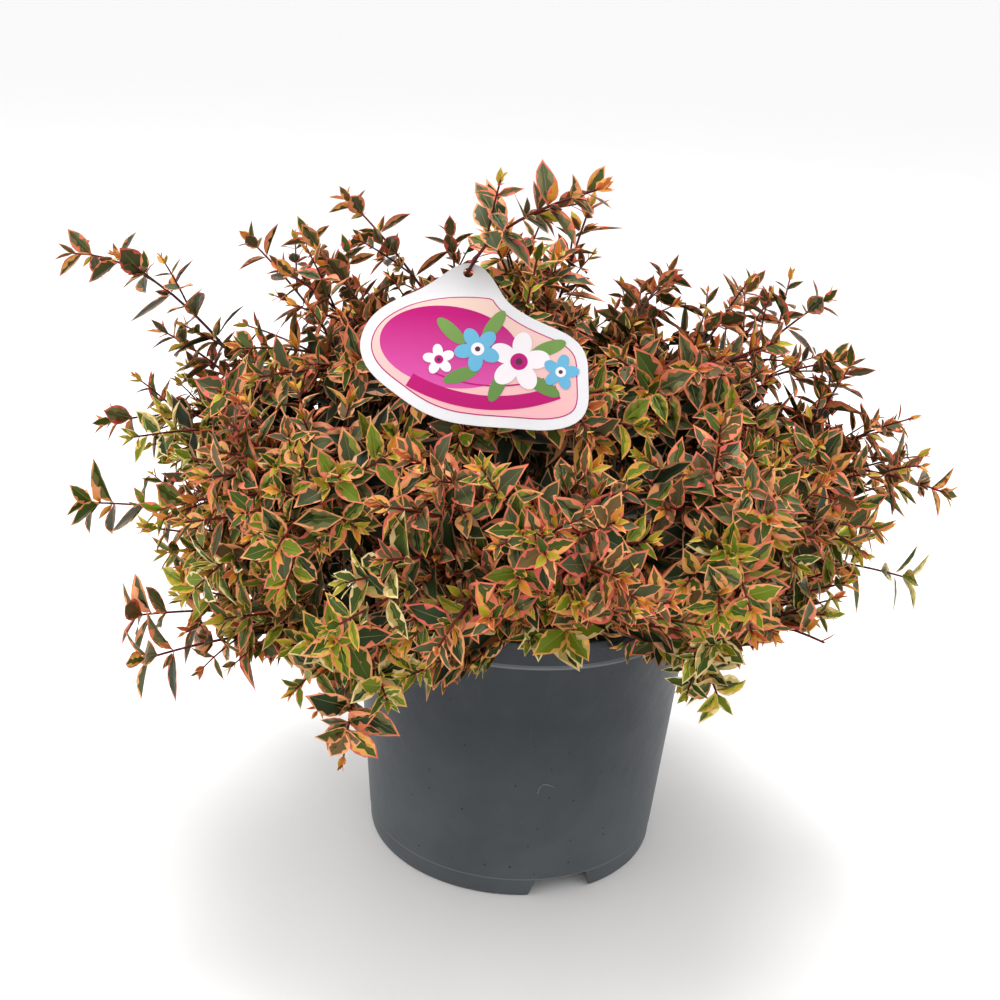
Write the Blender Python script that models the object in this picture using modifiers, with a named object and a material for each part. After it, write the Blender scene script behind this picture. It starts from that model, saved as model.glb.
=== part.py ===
"""Potted variegated glossy abelia: a low, wide shrub with arching shoots, in a round nursery pot.

Metres, +Z up. The origin is the middle of the pot's flat underside, on the pot's own axis.
Every mass of foliage keeps to its own wedge of the crown, and a bough leads to it from a short stem.
"""

import math
import random

import bmesh
import bpy
import numpy as np
from mathutils import Matrix, Vector

# Clearance between pieces that meet
GAP = 0.0003

# Pot, a three-litre round container
POT_HEIGHT = 0.154
POT_FOOT_RADIUS = 0.0790
POT_FOOT_ROUNDING = 0.0014
POT_SKIRT_HEIGHT = 0.0105
POT_SKIRT_STEP = 0.0004
POT_SKIRT_SLOPE = 0.0006
POT_SHOULDER_HEIGHT = 0.1388
POT_SHOULDER_RADIUS = 0.0899
POT_SHOULDER_STEP = 0.0009
POT_SHOULDER_SLOPE = 0.0006
POT_RIM_RADIUS = 0.0940
POT_RIM_DEPTH = 0.0042
POT_RIM_ROUNDING = 0.0010
POT_WALL = 0.0018
POT_FLOOR = 0.0020
POT_CENTRE_RADIUS = 0.0330
POT_STEPS = 36
NOTCH_COUNT = 3
NOTCH_AZIMUTH = -69.5
NOTCH_WIDTH = 0.036
NOTCH_TOP_WIDTH = 0.028
NOTCH_HEIGHT = 0.0100
NOTCH_DEPTH = 0.0120
DRAIN_COUNT = 6
DRAIN_RADIUS = 0.0045
DRAIN_RING = 0.0560
DRAIN_TURN = 24.0
DRAIN_CUT = 0.010
CUT_BELOW = 0.002

# Root ball, the compost that fills the pot
SOIL_LEVEL = 0.1430
SOIL_CROWN = 0.0015
SOIL_FLAT = 1.8
SOIL_SHOULDER = 0.0040

# Short woody stem inside the crown
STEM_FOOT_RADIUS = 0.0088
STEM_RADIUS = 0.0068
STEM_TOP = 0.1740
STEM_CROWN_SHARE = 0.62
STEM_CHAMFER_SHARE = 0.92
STEM_CHAMFER = 0.0022
STEM_SHOULDER = 0.0060
STEM_FLARE = 0.0052
STEM_STEPS = 12

# Crown: a squarish cushion in section, round in plan
CROWN_RADIUS = 0.200
CROWN_MIDDLE = 0.202
CROWN_RISE = 0.096
CROWN_DROP = 0.058
CROWN_SAG = 0.022
CROWN_SAG_AZIMUTH = -128.0
CROWN_SQUARENESS = 2.6
FOCUS = Vector((0.0, 0.0, 0.175))
SPACE_STRETCH = 1.5
SPACE_MARGIN = 0.0006
RIM_MARGIN = 0.0020

# Where a mass lies between the focus and the crown's outline
ENTRY_SHARE = 0.50
HEART_SHARE = 0.70
CORE_SHARE = 0.81
CORE_MARGIN = 0.0016
CORE_STUB = 0.0025

# Limbs and twigs
BOUGH_RADIUS = 0.0021
BOUGH_TIP_RADIUS = 0.0014
BOUGH_POINTS = 5
BOUGH_EASE = 0.45
TWIG_RADIUS = 0.0011
TWIG_TIP_RADIUS = 0.0007
SHOOT_ARCH = 0.10
SHOOT_TUFT = 0.014
SHOOT_POINTS = 5

# Leaves, fewer and larger than life
LEAF_LENGTH = 0.036
LEAF_WIDTH_SHARE = 0.50
LEAF_THICKNESS_SHARE = 1.0 / 34.0
LEAF_FOLD = 0.30
LEAF_RECURVE = 0.10
LEAF_WIDEST = 0.42
LEAF_SPACING = 0.011
LEAF_ROOT = 0.0002
LEAF_NECK = 0.0020
LEAF_FACE_SHARE = 0.7
LEAF_SKY_SHARE = 0.5
LEAF_SIZES = (0.90, 1.10)
LEAF_TRIES = ((1.0, 1.0), (0.62, 0.88), (0.34, 0.76))
SHOOT_NODE_STEP = 0.027
BODY_NODE_STEP = 0.011
NODE_INSET = 0.0015

# Pairs of leaves: angle from the twig in degrees, and share of the leaf length
SHOOT_END_PAIR = (24.0, 0.62)
SHOOT_TOP_PAIR = (58.0, 0.70)
SHOOT_PAIR = (52.0, 0.86)
BODY_END_PAIR = (48.0, 0.90)
BODY_LOW_PAIR = (68.0, 1.00)
LABEL_PAIR = (50.0, 0.80)
LABEL_END_PAIR = (26.0, 0.66)

# How the cushion's short shoots are spread
BODY_SHOOTS = 95
BODY_LOWEST = -0.34
BODY_INSET = 0.022
SEED = 41

# Hang label: a thin card that leans back on the foliage, threaded on an upright shoot
LABEL_WIDTH = 0.101
LABEL_HEIGHT = 0.062
LABEL_TOP = 0.0415
LABEL_THICKNESS = 0.0006
LABEL_HOLE = Vector((-0.0350, -0.0900, 0.3280))
LABEL_HOLE_RADIUS = 0.0022
LABEL_HOLE_DROP = 0.0368
LABEL_HOLE_SIDE = -0.0070
LABEL_LEAN = 32.0
LABEL_ROLL = -1.6
LABEL_KEEP_OUT = 0.0016
LABEL_MARGIN = 0.0030

# Outline of the label about its middle: angle in degrees and distance
LABEL_POINTS = 54
LABEL_SOFTENING = 2
LABEL_OUTLINE = (
    (-168.0, 0.0470), (-152.0, 0.0385), (-135.0, 0.0345), (-115.0, 0.0315), (-92.0, 0.0300),
    (-72.0, 0.0315), (-55.0, 0.0360), (-40.0, 0.0455), (-28.0, 0.0535), (-20.0, 0.0525),
    (-8.0, 0.0475), (4.0, 0.0475), (14.0, 0.0440), (26.0, 0.0340), (40.0, 0.0285),
    (56.0, 0.0265), (70.0, 0.0275), (80.0, 0.0320), (88.0, 0.0385), (96.0, 0.0425),
    (104.0, 0.0425), (112.0, 0.0400), (122.0, 0.0380), (136.0, 0.0380), (150.0, 0.0430),
    (164.0, 0.0490), (180.0, 0.0510),
)

# Masses of foliage, ring by ring, and the height on the stem where each ring's boughs start.
# Each mass has a name, an azimuth and a stretched elevation in degrees.
LOW_RING = -12.0
MID_RING = 28.0
HIGH_RING = 61.0
BOUGH_LEVELS = {LOW_RING: 0.1515, MID_RING: 0.1600, HIGH_RING: 0.1670}
TOP_UPRIGHT = 0.97
MASSES = (
    ("low_front", -88.0, LOW_RING),
    ("low_front_left", -128.0, LOW_RING),
    ("low_left", -172.0, LOW_RING),
    ("low_back_left", 140.0, LOW_RING),
    ("low_back", 95.0, LOW_RING),
    ("low_back_right", 50.0, LOW_RING),
    ("low_right", 5.0, LOW_RING),
    ("low_front_right", -42.0, LOW_RING),
    ("mid_front_right", -52.0, MID_RING),
    ("mid_front", -92.0, MID_RING),
    ("mid_front_left", -135.0, MID_RING),
    ("mid_left", 176.0, MID_RING),
    ("mid_back_left", 138.0, MID_RING),
    ("mid_back", 93.0, MID_RING),
    ("mid_back_right", 42.0, MID_RING),
    ("mid_right", -4.0, MID_RING),
    ("high_front", -102.0, HIGH_RING),
    ("high_right", -22.0, HIGH_RING),
    ("high_back_right", 52.0, HIGH_RING),
    ("high_back_left", 128.0, HIGH_RING),
    ("high_left", -166.0, HIGH_RING),
    ("top", 0.0, 90.0),
)

# Long shoots that leave the cushion: mass, azimuth in degrees, reach and height of the tip, and
# how far the shoot arches up, as a share of its span where the table gives one
LONG_SHOOTS = (
    ("low_front", -84.0, 0.172, 0.180),
    ("low_front_left", -117.0, 0.176, 0.136),
    ("low_front_left", -142.0, 0.222, 0.160),
    ("low_left", 180.0, 0.240, 0.176),
    ("low_left", -163.0, 0.185, 0.155),
    ("low_back_left", 140.0, 0.225, 0.160),
    ("low_back", 97.0, 0.215, 0.150),
    ("low_back_right", 52.0, 0.220, 0.165),
    ("low_right", -8.0, 0.196, 0.168),
    ("low_front_right", -50.0, 0.146, 0.136),
    ("mid_front_right", -55.0, 0.178, 0.235),
    ("mid_front", -92.0, 0.186, 0.225),
    ("mid_front_left", -135.0, 0.190, 0.235),
    ("mid_left", 166.0, 0.268, 0.298, 0.30),
    ("mid_left", 177.0, 0.232, 0.216),
    ("mid_left", 171.0, 0.206, 0.266),
    ("mid_back_left", 146.0, 0.208, 0.302),
    ("mid_back", 93.0, 0.235, 0.238),
    ("mid_back_right", 40.0, 0.178, 0.286),
    ("mid_back_right", 31.0, 0.206, 0.288),
    ("mid_right", 7.0, 0.166, 0.275),
    ("mid_right", -11.0, 0.213, 0.222),
    ("high_right", -26.0, 0.125, 0.300),
    ("high_back_right", 55.0, 0.120, 0.310),
    ("high_back_left", 139.0, 0.152, 0.331),
    ("high_left", -178.0, 0.135, 0.312),
    ("high_left", 158.0, 0.140, 0.318),
    ("top", 10.0, 0.022, 0.345),
    ("top", -140.0, 0.038, 0.338),
    ("top", -80.0, 0.030, 0.332),
)

# The shoot that carries the label bends up through its hole and leans over to its tip
LABEL_SHOOT = "high_front"
LABEL_SHOOT_BEND = Vector((-0.0500, -0.0770, 0.2950))
LABEL_SHOOT_LEAN = Vector((0.40, -0.14, 0.75))
LABEL_SHOOT_TIP = Vector((0.0270, -0.0980, 0.3680))
LABEL_SHOOT_STRAIGHT = 0.008
LABEL_SHOOT_EASE = 0.020
LABEL_SHOOT_TAPER = 0.04
LABEL_SHOOT_NODES = (5, 6, 7)
LABEL_SHOOT_TURN = 0.4

# Finishes: colour, roughness
PLASTIC = ((0.075, 0.083, 0.088), 0.52)
COMPOST = ((0.045, 0.030, 0.020), 0.95)
BARK = ((0.090, 0.032, 0.024), 0.70)
CARD = ((0.86, 0.84, 0.85), 0.40)
LEAF_GREEN = ((0.120, 0.150, 0.070), 0.48)
LEAF_CORAL = ((0.420, 0.170, 0.110), 0.50)
LEAF_OLIVE = ((0.200, 0.210, 0.080), 0.50)


def clear_scene():
    """Remove every object, so that the script starts from nothing."""
    for thing in list(bpy.data.objects):
        bpy.data.objects.remove(thing, do_unlink=True)


def new_collection(name):
    """Return a new collection, linked to the scene."""
    collection = bpy.data.collections.new(name)
    bpy.context.scene.collection.children.link(collection)
    return collection


def finish(name, look):
    """Return a material with one Principled shader."""
    colour, roughness = look
    material = bpy.data.materials.new(name)
    material.use_nodes = True
    shader = material.node_tree.nodes["Principled BSDF"]
    shader.inputs["Base Color"].default_value = (*colour, 1.0)
    shader.inputs["Roughness"].default_value = roughness
    return material


def add_object(name, data, collection, material):
    """Link an object for the data into the collection, with its material."""
    thing = bpy.data.objects.new(name, data)
    collection.objects.link(thing)
    if material is not None:
        data.materials.append(material)
    return thing


def polar(azimuth, radius, height):
    """Point at an azimuth in degrees, a distance from the axis and a height."""
    angle = math.radians(azimuth)
    return Vector((radius * math.cos(angle), radius * math.sin(angle), height))


def apply_modifiers(thing):
    """Replace the object's mesh by its evaluated mesh, with no modifiers left."""
    graph = bpy.context.evaluated_depsgraph_get()
    old = thing.data
    thing.data = bpy.data.meshes.new_from_object(thing.evaluated_get(graph))
    thing.modifiers.clear()
    bpy.data.meshes.remove(old)


def turned(name, profile, steps, collection, material):
    """Turn a profile of (radius, height) about Z, listed so that its outer side runs downwards."""
    mesh = bpy.data.meshes.new(name)
    points = [(radius, 0.0, height) for radius, height in profile]
    mesh.from_pydata(points, [(i, i + 1) for i in range(len(points) - 1)], [])
    thing = add_object(name, mesh, collection, material)
    screw = thing.modifiers.new("turn", "SCREW")
    screw.steps = steps
    screw.render_steps = steps
    screw.use_merge_vertices = True
    screw.merge_threshold = 0.00001
    screw.use_smooth_shade = False
    return thing


def shade_round(thing, angle=35.0):
    """Smooth shading, with edges sharper than the angle kept."""
    thing.data.shade_smooth()
    thing.data.set_sharp_from_angle(angle=math.radians(angle))


def wall_radius(height):
    """Outer radius of the pot's tapered wall at a height."""
    share = height / POT_SHOULDER_HEIGHT
    return POT_FOOT_RADIUS + (POT_SHOULDER_RADIUS - POT_FOOT_RADIUS) * share


def inner_radius(height):
    """Inner radius of the pot's wall at a height."""
    return wall_radius(height) - POT_SHOULDER_STEP - POT_WALL


def pot_profile():
    """Section of the pot, from the middle of its floor out, over the rim, and back underneath."""
    floor_top = POT_SKIRT_HEIGHT + POT_FLOOR
    neck = wall_radius(POT_SHOULDER_HEIGHT) - POT_SHOULDER_STEP
    rim_foot = POT_HEIGHT - POT_RIM_DEPTH
    skirt_inner = POT_FOOT_RADIUS - POT_WALL
    inside = [
        (0.0, POT_FLOOR),
        (POT_CENTRE_RADIUS - POT_FLOOR, POT_FLOOR),
        (POT_CENTRE_RADIUS, floor_top),
        (inner_radius(floor_top), floor_top),
        (inner_radius(POT_SHOULDER_HEIGHT), POT_SHOULDER_HEIGHT),
        (neck - POT_WALL, POT_HEIGHT),
    ]
    rim = [
        (POT_RIM_RADIUS - POT_RIM_ROUNDING, POT_HEIGHT),
        (POT_RIM_RADIUS, POT_HEIGHT - POT_RIM_ROUNDING),
        (POT_RIM_RADIUS, rim_foot),
        (neck, rim_foot),
    ]
    outside = [
        (neck, POT_SHOULDER_HEIGHT + POT_SHOULDER_SLOPE),
        (POT_SHOULDER_RADIUS, POT_SHOULDER_HEIGHT),
        (wall_radius(POT_SKIRT_HEIGHT), POT_SKIRT_HEIGHT),
        (wall_radius(POT_SKIRT_HEIGHT) - POT_SKIRT_STEP, POT_SKIRT_HEIGHT - POT_SKIRT_SLOPE),
        (POT_FOOT_RADIUS, POT_FOOT_ROUNDING),
    ]
    underside = [
        (POT_FOOT_RADIUS - POT_FOOT_ROUNDING, 0.0),
        (skirt_inner, 0.0),
        (skirt_inner, POT_SKIRT_HEIGHT),
        (POT_CENTRE_RADIUS, POT_SKIRT_HEIGHT),
        (POT_CENTRE_RADIUS, 0.0),
        (0.0, 0.0),
    ]
    return inside + rim + outside + underside


def notch_cutter(index, cutters):
    """Wedge that cuts one drain notch, narrower at its top, out of the pot's skirt."""
    mesh = bpy.data.meshes.new(f"notch_{index}")
    shape = bmesh.new()
    bmesh.ops.create_cube(shape, size=1.0)
    for vertex in shape.verts:
        upper = vertex.co.z > 0.0
        width = NOTCH_TOP_WIDTH if upper else NOTCH_WIDTH
        vertex.co.x *= NOTCH_DEPTH
        vertex.co.y *= width
        vertex.co.z = NOTCH_HEIGHT if upper else -CUT_BELOW
    shape.to_mesh(mesh)
    shape.free()
    cutter = add_object(f"cut_notch_{index}", mesh, cutters, None)
    azimuth = NOTCH_AZIMUTH + 360.0 * index / NOTCH_COUNT
    cutter.location = polar(azimuth, POT_FOOT_RADIUS, 0.0)
    cutter.rotation_euler = (0.0, 0.0, math.radians(azimuth))
    return cutter


def drain_cutter(index, cutters):
    """Round cutter for one drain hole in the raised channel of the floor."""
    mesh = bpy.data.meshes.new(f"drain_{index}")
    shape = bmesh.new()
    bmesh.ops.create_cone(shape, cap_ends=True, segments=12, radius1=DRAIN_RADIUS,
                          radius2=DRAIN_RADIUS, depth=DRAIN_CUT)
    shape.to_mesh(mesh)
    shape.free()
    cutter = add_object(f"cut_drain_{index}", mesh, cutters, None)
    azimuth = DRAIN_TURN + 360.0 * index / DRAIN_COUNT
    cutter.location = polar(azimuth, DRAIN_RING, POT_SKIRT_HEIGHT)
    return cutter


def build_pot(parts, cutters):
    """The pot: one turned shell with three notches in its skirt and six drain holes."""
    pot = turned("pot", pot_profile(), POT_STEPS, parts, finish("pot_plastic", PLASTIC))
    tools = [notch_cutter(i, cutters) for i in range(NOTCH_COUNT)]
    tools += [drain_cutter(i, cutters) for i in range(DRAIN_COUNT)]
    for tool in tools:
        tool.hide_render = True
        tool.display_type = "WIRE"
        cut = pot.modifiers.new(f"cut_{tool.name}", "BOOLEAN")
        cut.operation = "DIFFERENCE"
        cut.solver = "EXACT"
        cut.object = tool
    bpy.context.view_layer.update()
    apply_modifiers(pot)
    shade_round(pot)
    for tool in tools:
        bpy.data.objects.remove(tool, do_unlink=True)
    return pot


def build_root_ball(parts):
    """The compost, a turned plug that fills the pot to just under its rim."""
    floor_top = POT_SKIRT_HEIGHT + POT_FLOOR + GAP
    top_radius = inner_radius(POT_SHOULDER_HEIGHT) - GAP
    profile = [
        (0.0, SOIL_LEVEL + SOIL_CROWN),
        (STEM_FOOT_RADIUS * SOIL_FLAT, SOIL_LEVEL + SOIL_CROWN),
        (top_radius - SOIL_SHOULDER, SOIL_LEVEL),
        (top_radius, SOIL_LEVEL - SOIL_SHOULDER),
        (inner_radius(floor_top) - GAP, floor_top),
        (POT_CENTRE_RADIUS - GAP, floor_top),
        (POT_CENTRE_RADIUS - POT_FLOOR - GAP * 2.0, POT_FLOOR + GAP),
        (0.0, POT_FLOOR + GAP),
    ]
    ball = turned("root_ball", profile, POT_STEPS, parts, finish("compost", COMPOST))
    apply_modifiers(ball)
    return ball


def build_stem(parts):
    """The short stem that stands on the compost, flared at its foot and blunt at its top."""
    foot = SOIL_LEVEL + SOIL_CROWN + GAP
    profile = [
        (0.0, STEM_TOP),
        (STEM_RADIUS * STEM_CROWN_SHARE, STEM_TOP),
        (STEM_RADIUS * STEM_CHAMFER_SHARE, STEM_TOP - STEM_CHAMFER),
        (STEM_RADIUS, STEM_TOP - STEM_SHOULDER),
        (STEM_RADIUS, foot + STEM_FLARE),
        (STEM_FOOT_RADIUS, foot),
        (0.0, foot),
    ]
    stem = turned("stem_base", profile, STEM_STEPS, parts, finish("stem_bark", BARK))
    apply_modifiers(stem)
    shade_round(stem)
    return stem


def label_outline():
    """Lobed card with a tab at its top, as points in the card's own plane."""
    angles = np.arange(LABEL_POINTS) * (360.0 / LABEL_POINTS)
    given_angles, given_radii = zip(*LABEL_OUTLINE)
    radii = np.interp(angles, given_angles, given_radii, period=360.0)
    for _ in range(LABEL_SOFTENING):
        radii = 0.5 * radii + 0.25 * (np.roll(radii, 1) + np.roll(radii, -1))
    turns = np.radians(angles)
    return list(zip((radii * np.cos(turns)).tolist(), (radii * np.sin(turns)).tolist()))


def label_matrix():
    """Place of the card: its width along X, its face towards the front and up."""
    turn = Matrix.Rotation(math.radians(90.0 - LABEL_LEAN), 4, "X")
    roll = Matrix.Rotation(math.radians(LABEL_ROLL), 4, "Z")
    face = turn @ roll
    hole = Vector((LABEL_HOLE_SIDE, LABEL_HOLE_DROP, 0.0))
    return Matrix.Translation(LABEL_HOLE - face @ hole) @ face


def circle_points(centre, radius, count):
    """Points round a circle in a plane."""
    angles = [2.0 * math.pi * i / count for i in range(count)]
    return [(centre[0] + radius * math.cos(a), centre[1] + radius * math.sin(a)) for a in angles]


def add_loop(curve, points):
    """Add a closed run of straight edges to a flat curve."""
    spline = curve.splines.new("POLY")
    spline.points.add(len(points) - 1)
    for target, (x, y) in zip(spline.points, points):
        target.co = (x, y, 0.0, 1.0)
    spline.use_cyclic_u = True


def build_label(parts):
    """The hang label, a thin card with a round hole in its tab."""
    curve = bpy.data.curves.new("label", "CURVE")
    curve.dimensions = "2D"
    curve.fill_mode = "BOTH"
    curve.extrude = LABEL_THICKNESS * 0.5
    add_loop(curve, label_outline())
    add_loop(curve, circle_points((LABEL_HOLE_SIDE, LABEL_HOLE_DROP), LABEL_HOLE_RADIUS, 12))
    flat = add_object("label_flat", curve, parts, None)
    flat.matrix_world = label_matrix()
    bpy.context.view_layer.update()
    graph = bpy.context.evaluated_depsgraph_get()
    mesh = bpy.data.meshes.new_from_object(flat.evaluated_get(graph))
    shape = bmesh.new()
    shape.from_mesh(mesh)
    bmesh.ops.remove_doubles(shape, verts=shape.verts, dist=0.00001)
    shape.to_mesh(mesh)
    shape.free()
    label = add_object("label", mesh, parts, finish("card", CARD))
    label.matrix_world = flat.matrix_world.copy()
    bpy.data.objects.remove(flat, do_unlink=True)
    return label


def crown_drop(direction):
    """How far the cushion hangs below its widest level, which is most at its front left."""
    off = math.atan2(direction.y, direction.x) - math.radians(CROWN_SAG_AZIMUTH)
    near = math.cos(off) > math.cos(math.pi / 4.0)
    return CROWN_DROP + (CROWN_SAG * math.cos(2.0 * off) if near else 0.0)


def crown_reach(direction):
    """Distance from the focus to the cushion's outline along a unit direction."""
    low, high = 0.0, 0.5
    for _ in range(30):
        middle = 0.5 * (low + high)
        point = FOCUS + direction * middle
        radius = math.hypot(point.x, point.y) / CROWN_RADIUS
        lift = point.z - CROWN_MIDDLE
        height = abs(lift) / (CROWN_RISE if lift > 0.0 else crown_drop(direction))
        inside = radius ** CROWN_SQUARENESS + height ** CROWN_SQUARENESS < 1.0
        low, high = (middle, high) if inside else (low, middle)
    return low


def stretched_direction(azimuth, elevation):
    """Unit vector of a mass in the space whose heights are stretched."""
    lift = math.radians(elevation)
    flat = polar(azimuth, math.cos(lift), 0.0)
    return Vector((flat.x, flat.y, math.sin(lift)))


def real_direction(stretched):
    """Unit direction in the real space for one in the stretched space."""
    return Vector((stretched.x, stretched.y, stretched.z / SPACE_STRETCH)).normalized()


class LabelGuard:
    """Keeps foliage off the thin card."""

    def __init__(self):
        """Take the card's place once."""
        self.back = label_matrix().inverted()
        self.half_width = LABEL_WIDTH * 0.5 + LABEL_MARGIN
        self.half_height = LABEL_HEIGHT * 0.5 + LABEL_MARGIN
        self.top = LABEL_TOP + LABEL_MARGIN

    def blocks(self, points):
        """Whether a small shape with these points may cross the card."""
        local = [self.back @ point for point in points]
        if all(p.z > LABEL_KEEP_OUT for p in local) or all(p.z < -LABEL_KEEP_OUT for p in local):
            return False
        if all(p.x > self.half_width for p in local) or all(p.x < -self.half_width for p in local):
            return False
        return not (all(p.y > self.top for p in local) or all(p.y < -self.half_height for p in local))


class Space:
    """The wedge of the crown that one mass of foliage keeps to."""

    def __init__(self, name, index, directions, guard):
        """Work out the wedge's planes, its entry and its heart."""
        self.name = name
        self.guard = guard
        self.own = directions[index]
        others = [d for i, d in enumerate(directions) if i != index]
        self.planes = [(self.own - other).normalized() for other in others]
        self.axis = real_direction(self.own)
        reach = crown_reach(self.axis)
        self.entry = FOCUS + self.axis * (reach * ENTRY_SHARE)
        self.heart = FOCUS + self.axis * (reach * HEART_SHARE)

    def holds(self, point, margin=SPACE_MARGIN, stub=SPACE_MARGIN):
        """Whether a point lies in the wedge, past its entry, and clear of the pot."""
        if (point - self.entry).dot(self.axis) < stub:
            return False
        radius = math.hypot(point.x, point.y)
        if radius < POT_RIM_RADIUS + RIM_MARGIN and point.z < POT_HEIGHT + RIM_MARGIN:
            return False
        away = point - FOCUS
        stretched = Vector((away.x, away.y, away.z * SPACE_STRETCH))
        return all(stretched.dot(plane) > margin for plane in self.planes)

    def over_rim(self, point):
        """Whether a point lies beyond the slanted plane that leans on the pot's rim."""
        flat = Vector((self.axis.x, self.axis.y, 0.0)).normalized()
        outside = point.dot(flat) - POT_RIM_RADIUS
        above = point.z - POT_HEIGHT
        return outside + above > CORE_MARGIN

    def takes(self, points):
        """Whether a twig or leaf with these points may grow here."""
        return all(self.holds(point) for point in points) and not self.guard.blocks(points)


def samples(corners, edges, count=8):
    """Points along the edges between the corners."""
    found = list(corners)
    for a, b in edges:
        for i in range(1, count):
            found.append(corners[a].lerp(corners[b], i / count))
    return found


def tube_mesh(name, path, radii, sides=3):
    """Closed tube with flat ends along a path, as a mesh."""
    shape = bmesh.new()
    rings = []
    side = None
    for i, point in enumerate(path):
        ahead = path[min(i + 1, len(path) - 1)] - path[max(i - 1, 0)]
        ahead.normalize()
        guide = Vector((0.0, 0.0, 1.0)) if side is None else side
        if side is None and abs(ahead.z) > 0.9:
            guide = Vector((1.0, 0.0, 0.0))
        side = (guide - ahead * guide.dot(ahead)).normalized()
        across = ahead.cross(side)
        ring = []
        for k in range(sides):
            angle = 2.0 * math.pi * k / sides
            offset = side * math.cos(angle) + across * math.sin(angle)
            ring.append(shape.verts.new(point + offset * radii[i]))
        rings.append(ring)
    for lower, upper in zip(rings, rings[1:]):
        for k in range(sides):
            after = (k + 1) % sides
            shape.faces.new((lower[k], lower[after], upper[after], upper[k]))
    shape.faces.new(list(reversed(rings[0])))
    shape.faces.new(rings[-1])
    bmesh.ops.recalc_face_normals(shape, faces=shape.faces)
    mesh = bpy.data.meshes.new(name)
    shape.to_mesh(mesh)
    shape.free()
    return mesh


def bezier(start, control, end, count):
    """Points along a quadratic arc."""
    points = []
    for i in range(count):
        t = i / (count - 1)
        points.append(start * (1.0 - t) ** 2 + control * (2.0 * t * (1.0 - t)) + end * t ** 2)
    return points


def leaf_corners(root, along, up, length):
    """Corners of a folded leaf: root, tip, two sides, and the swell under its midrib."""
    across = along.cross(up).normalized()
    up = across.cross(along).normalized()
    half = length * LEAF_WIDTH_SHARE * 0.5
    lift = up * (half * LEAF_FOLD)
    middle = root + along * (length * LEAF_WIDEST)
    thick = up * (length * LEAF_THICKNESS_SHARE)
    tip = root + along * length - up * (length * LEAF_RECURVE)
    swell = middle - up * (length * LEAF_RECURVE * LEAF_WIDEST) - thick
    return [root, tip, middle + across * half + lift, middle - across * half + lift, swell]


LEAF_EDGES = ((0, 1), (2, 3), (0, 2), (0, 3), (2, 1), (3, 1))
LEAF_FACES = ((0, 2, 1), (0, 1, 3), (2, 0, 4), (1, 2, 4), (3, 1, 4), (0, 3, 4))


def leaf_mesh(name, corners):
    """Closed leaf of six faces, creased along its midrib."""
    shape = bmesh.new()
    verts = [shape.verts.new(corner) for corner in corners]
    for face in LEAF_FACES:
        shape.faces.new([verts[i] for i in face])
    bmesh.ops.recalc_face_normals(shape, faces=shape.faces)
    mesh = bpy.data.meshes.new(name)
    shape.to_mesh(mesh)
    shape.free()
    return mesh


def core_mesh(name, space):
    """Faceted lump about a mass's heart, pulled in until it keeps clear of its wedge's sides."""
    shape = bmesh.new()
    bmesh.ops.create_icosphere(shape, subdivisions=2, radius=1.0)
    for vertex in shape.verts:
        direction = vertex.co.normalized()
        low, high = 0.0, 0.25
        for _ in range(18):
            middle = 0.5 * (low + high)
            point = space.heart + direction * middle
            away = point - FOCUS
            inside = away.length < crown_reach(away.normalized()) * CORE_SHARE
            clear = space.holds(point, CORE_MARGIN, CORE_STUB) and space.over_rim(point)
            free = not space.guard.blocks([point, space.heart])
            low, high = (middle, high) if inside and clear and free else (low, middle)
        vertex.co = space.heart + direction * low
    bmesh.ops.recalc_face_normals(shape, faces=shape.faces)
    mesh = bpy.data.meshes.new(name)
    shape.to_mesh(mesh)
    shape.free()
    return mesh


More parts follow.
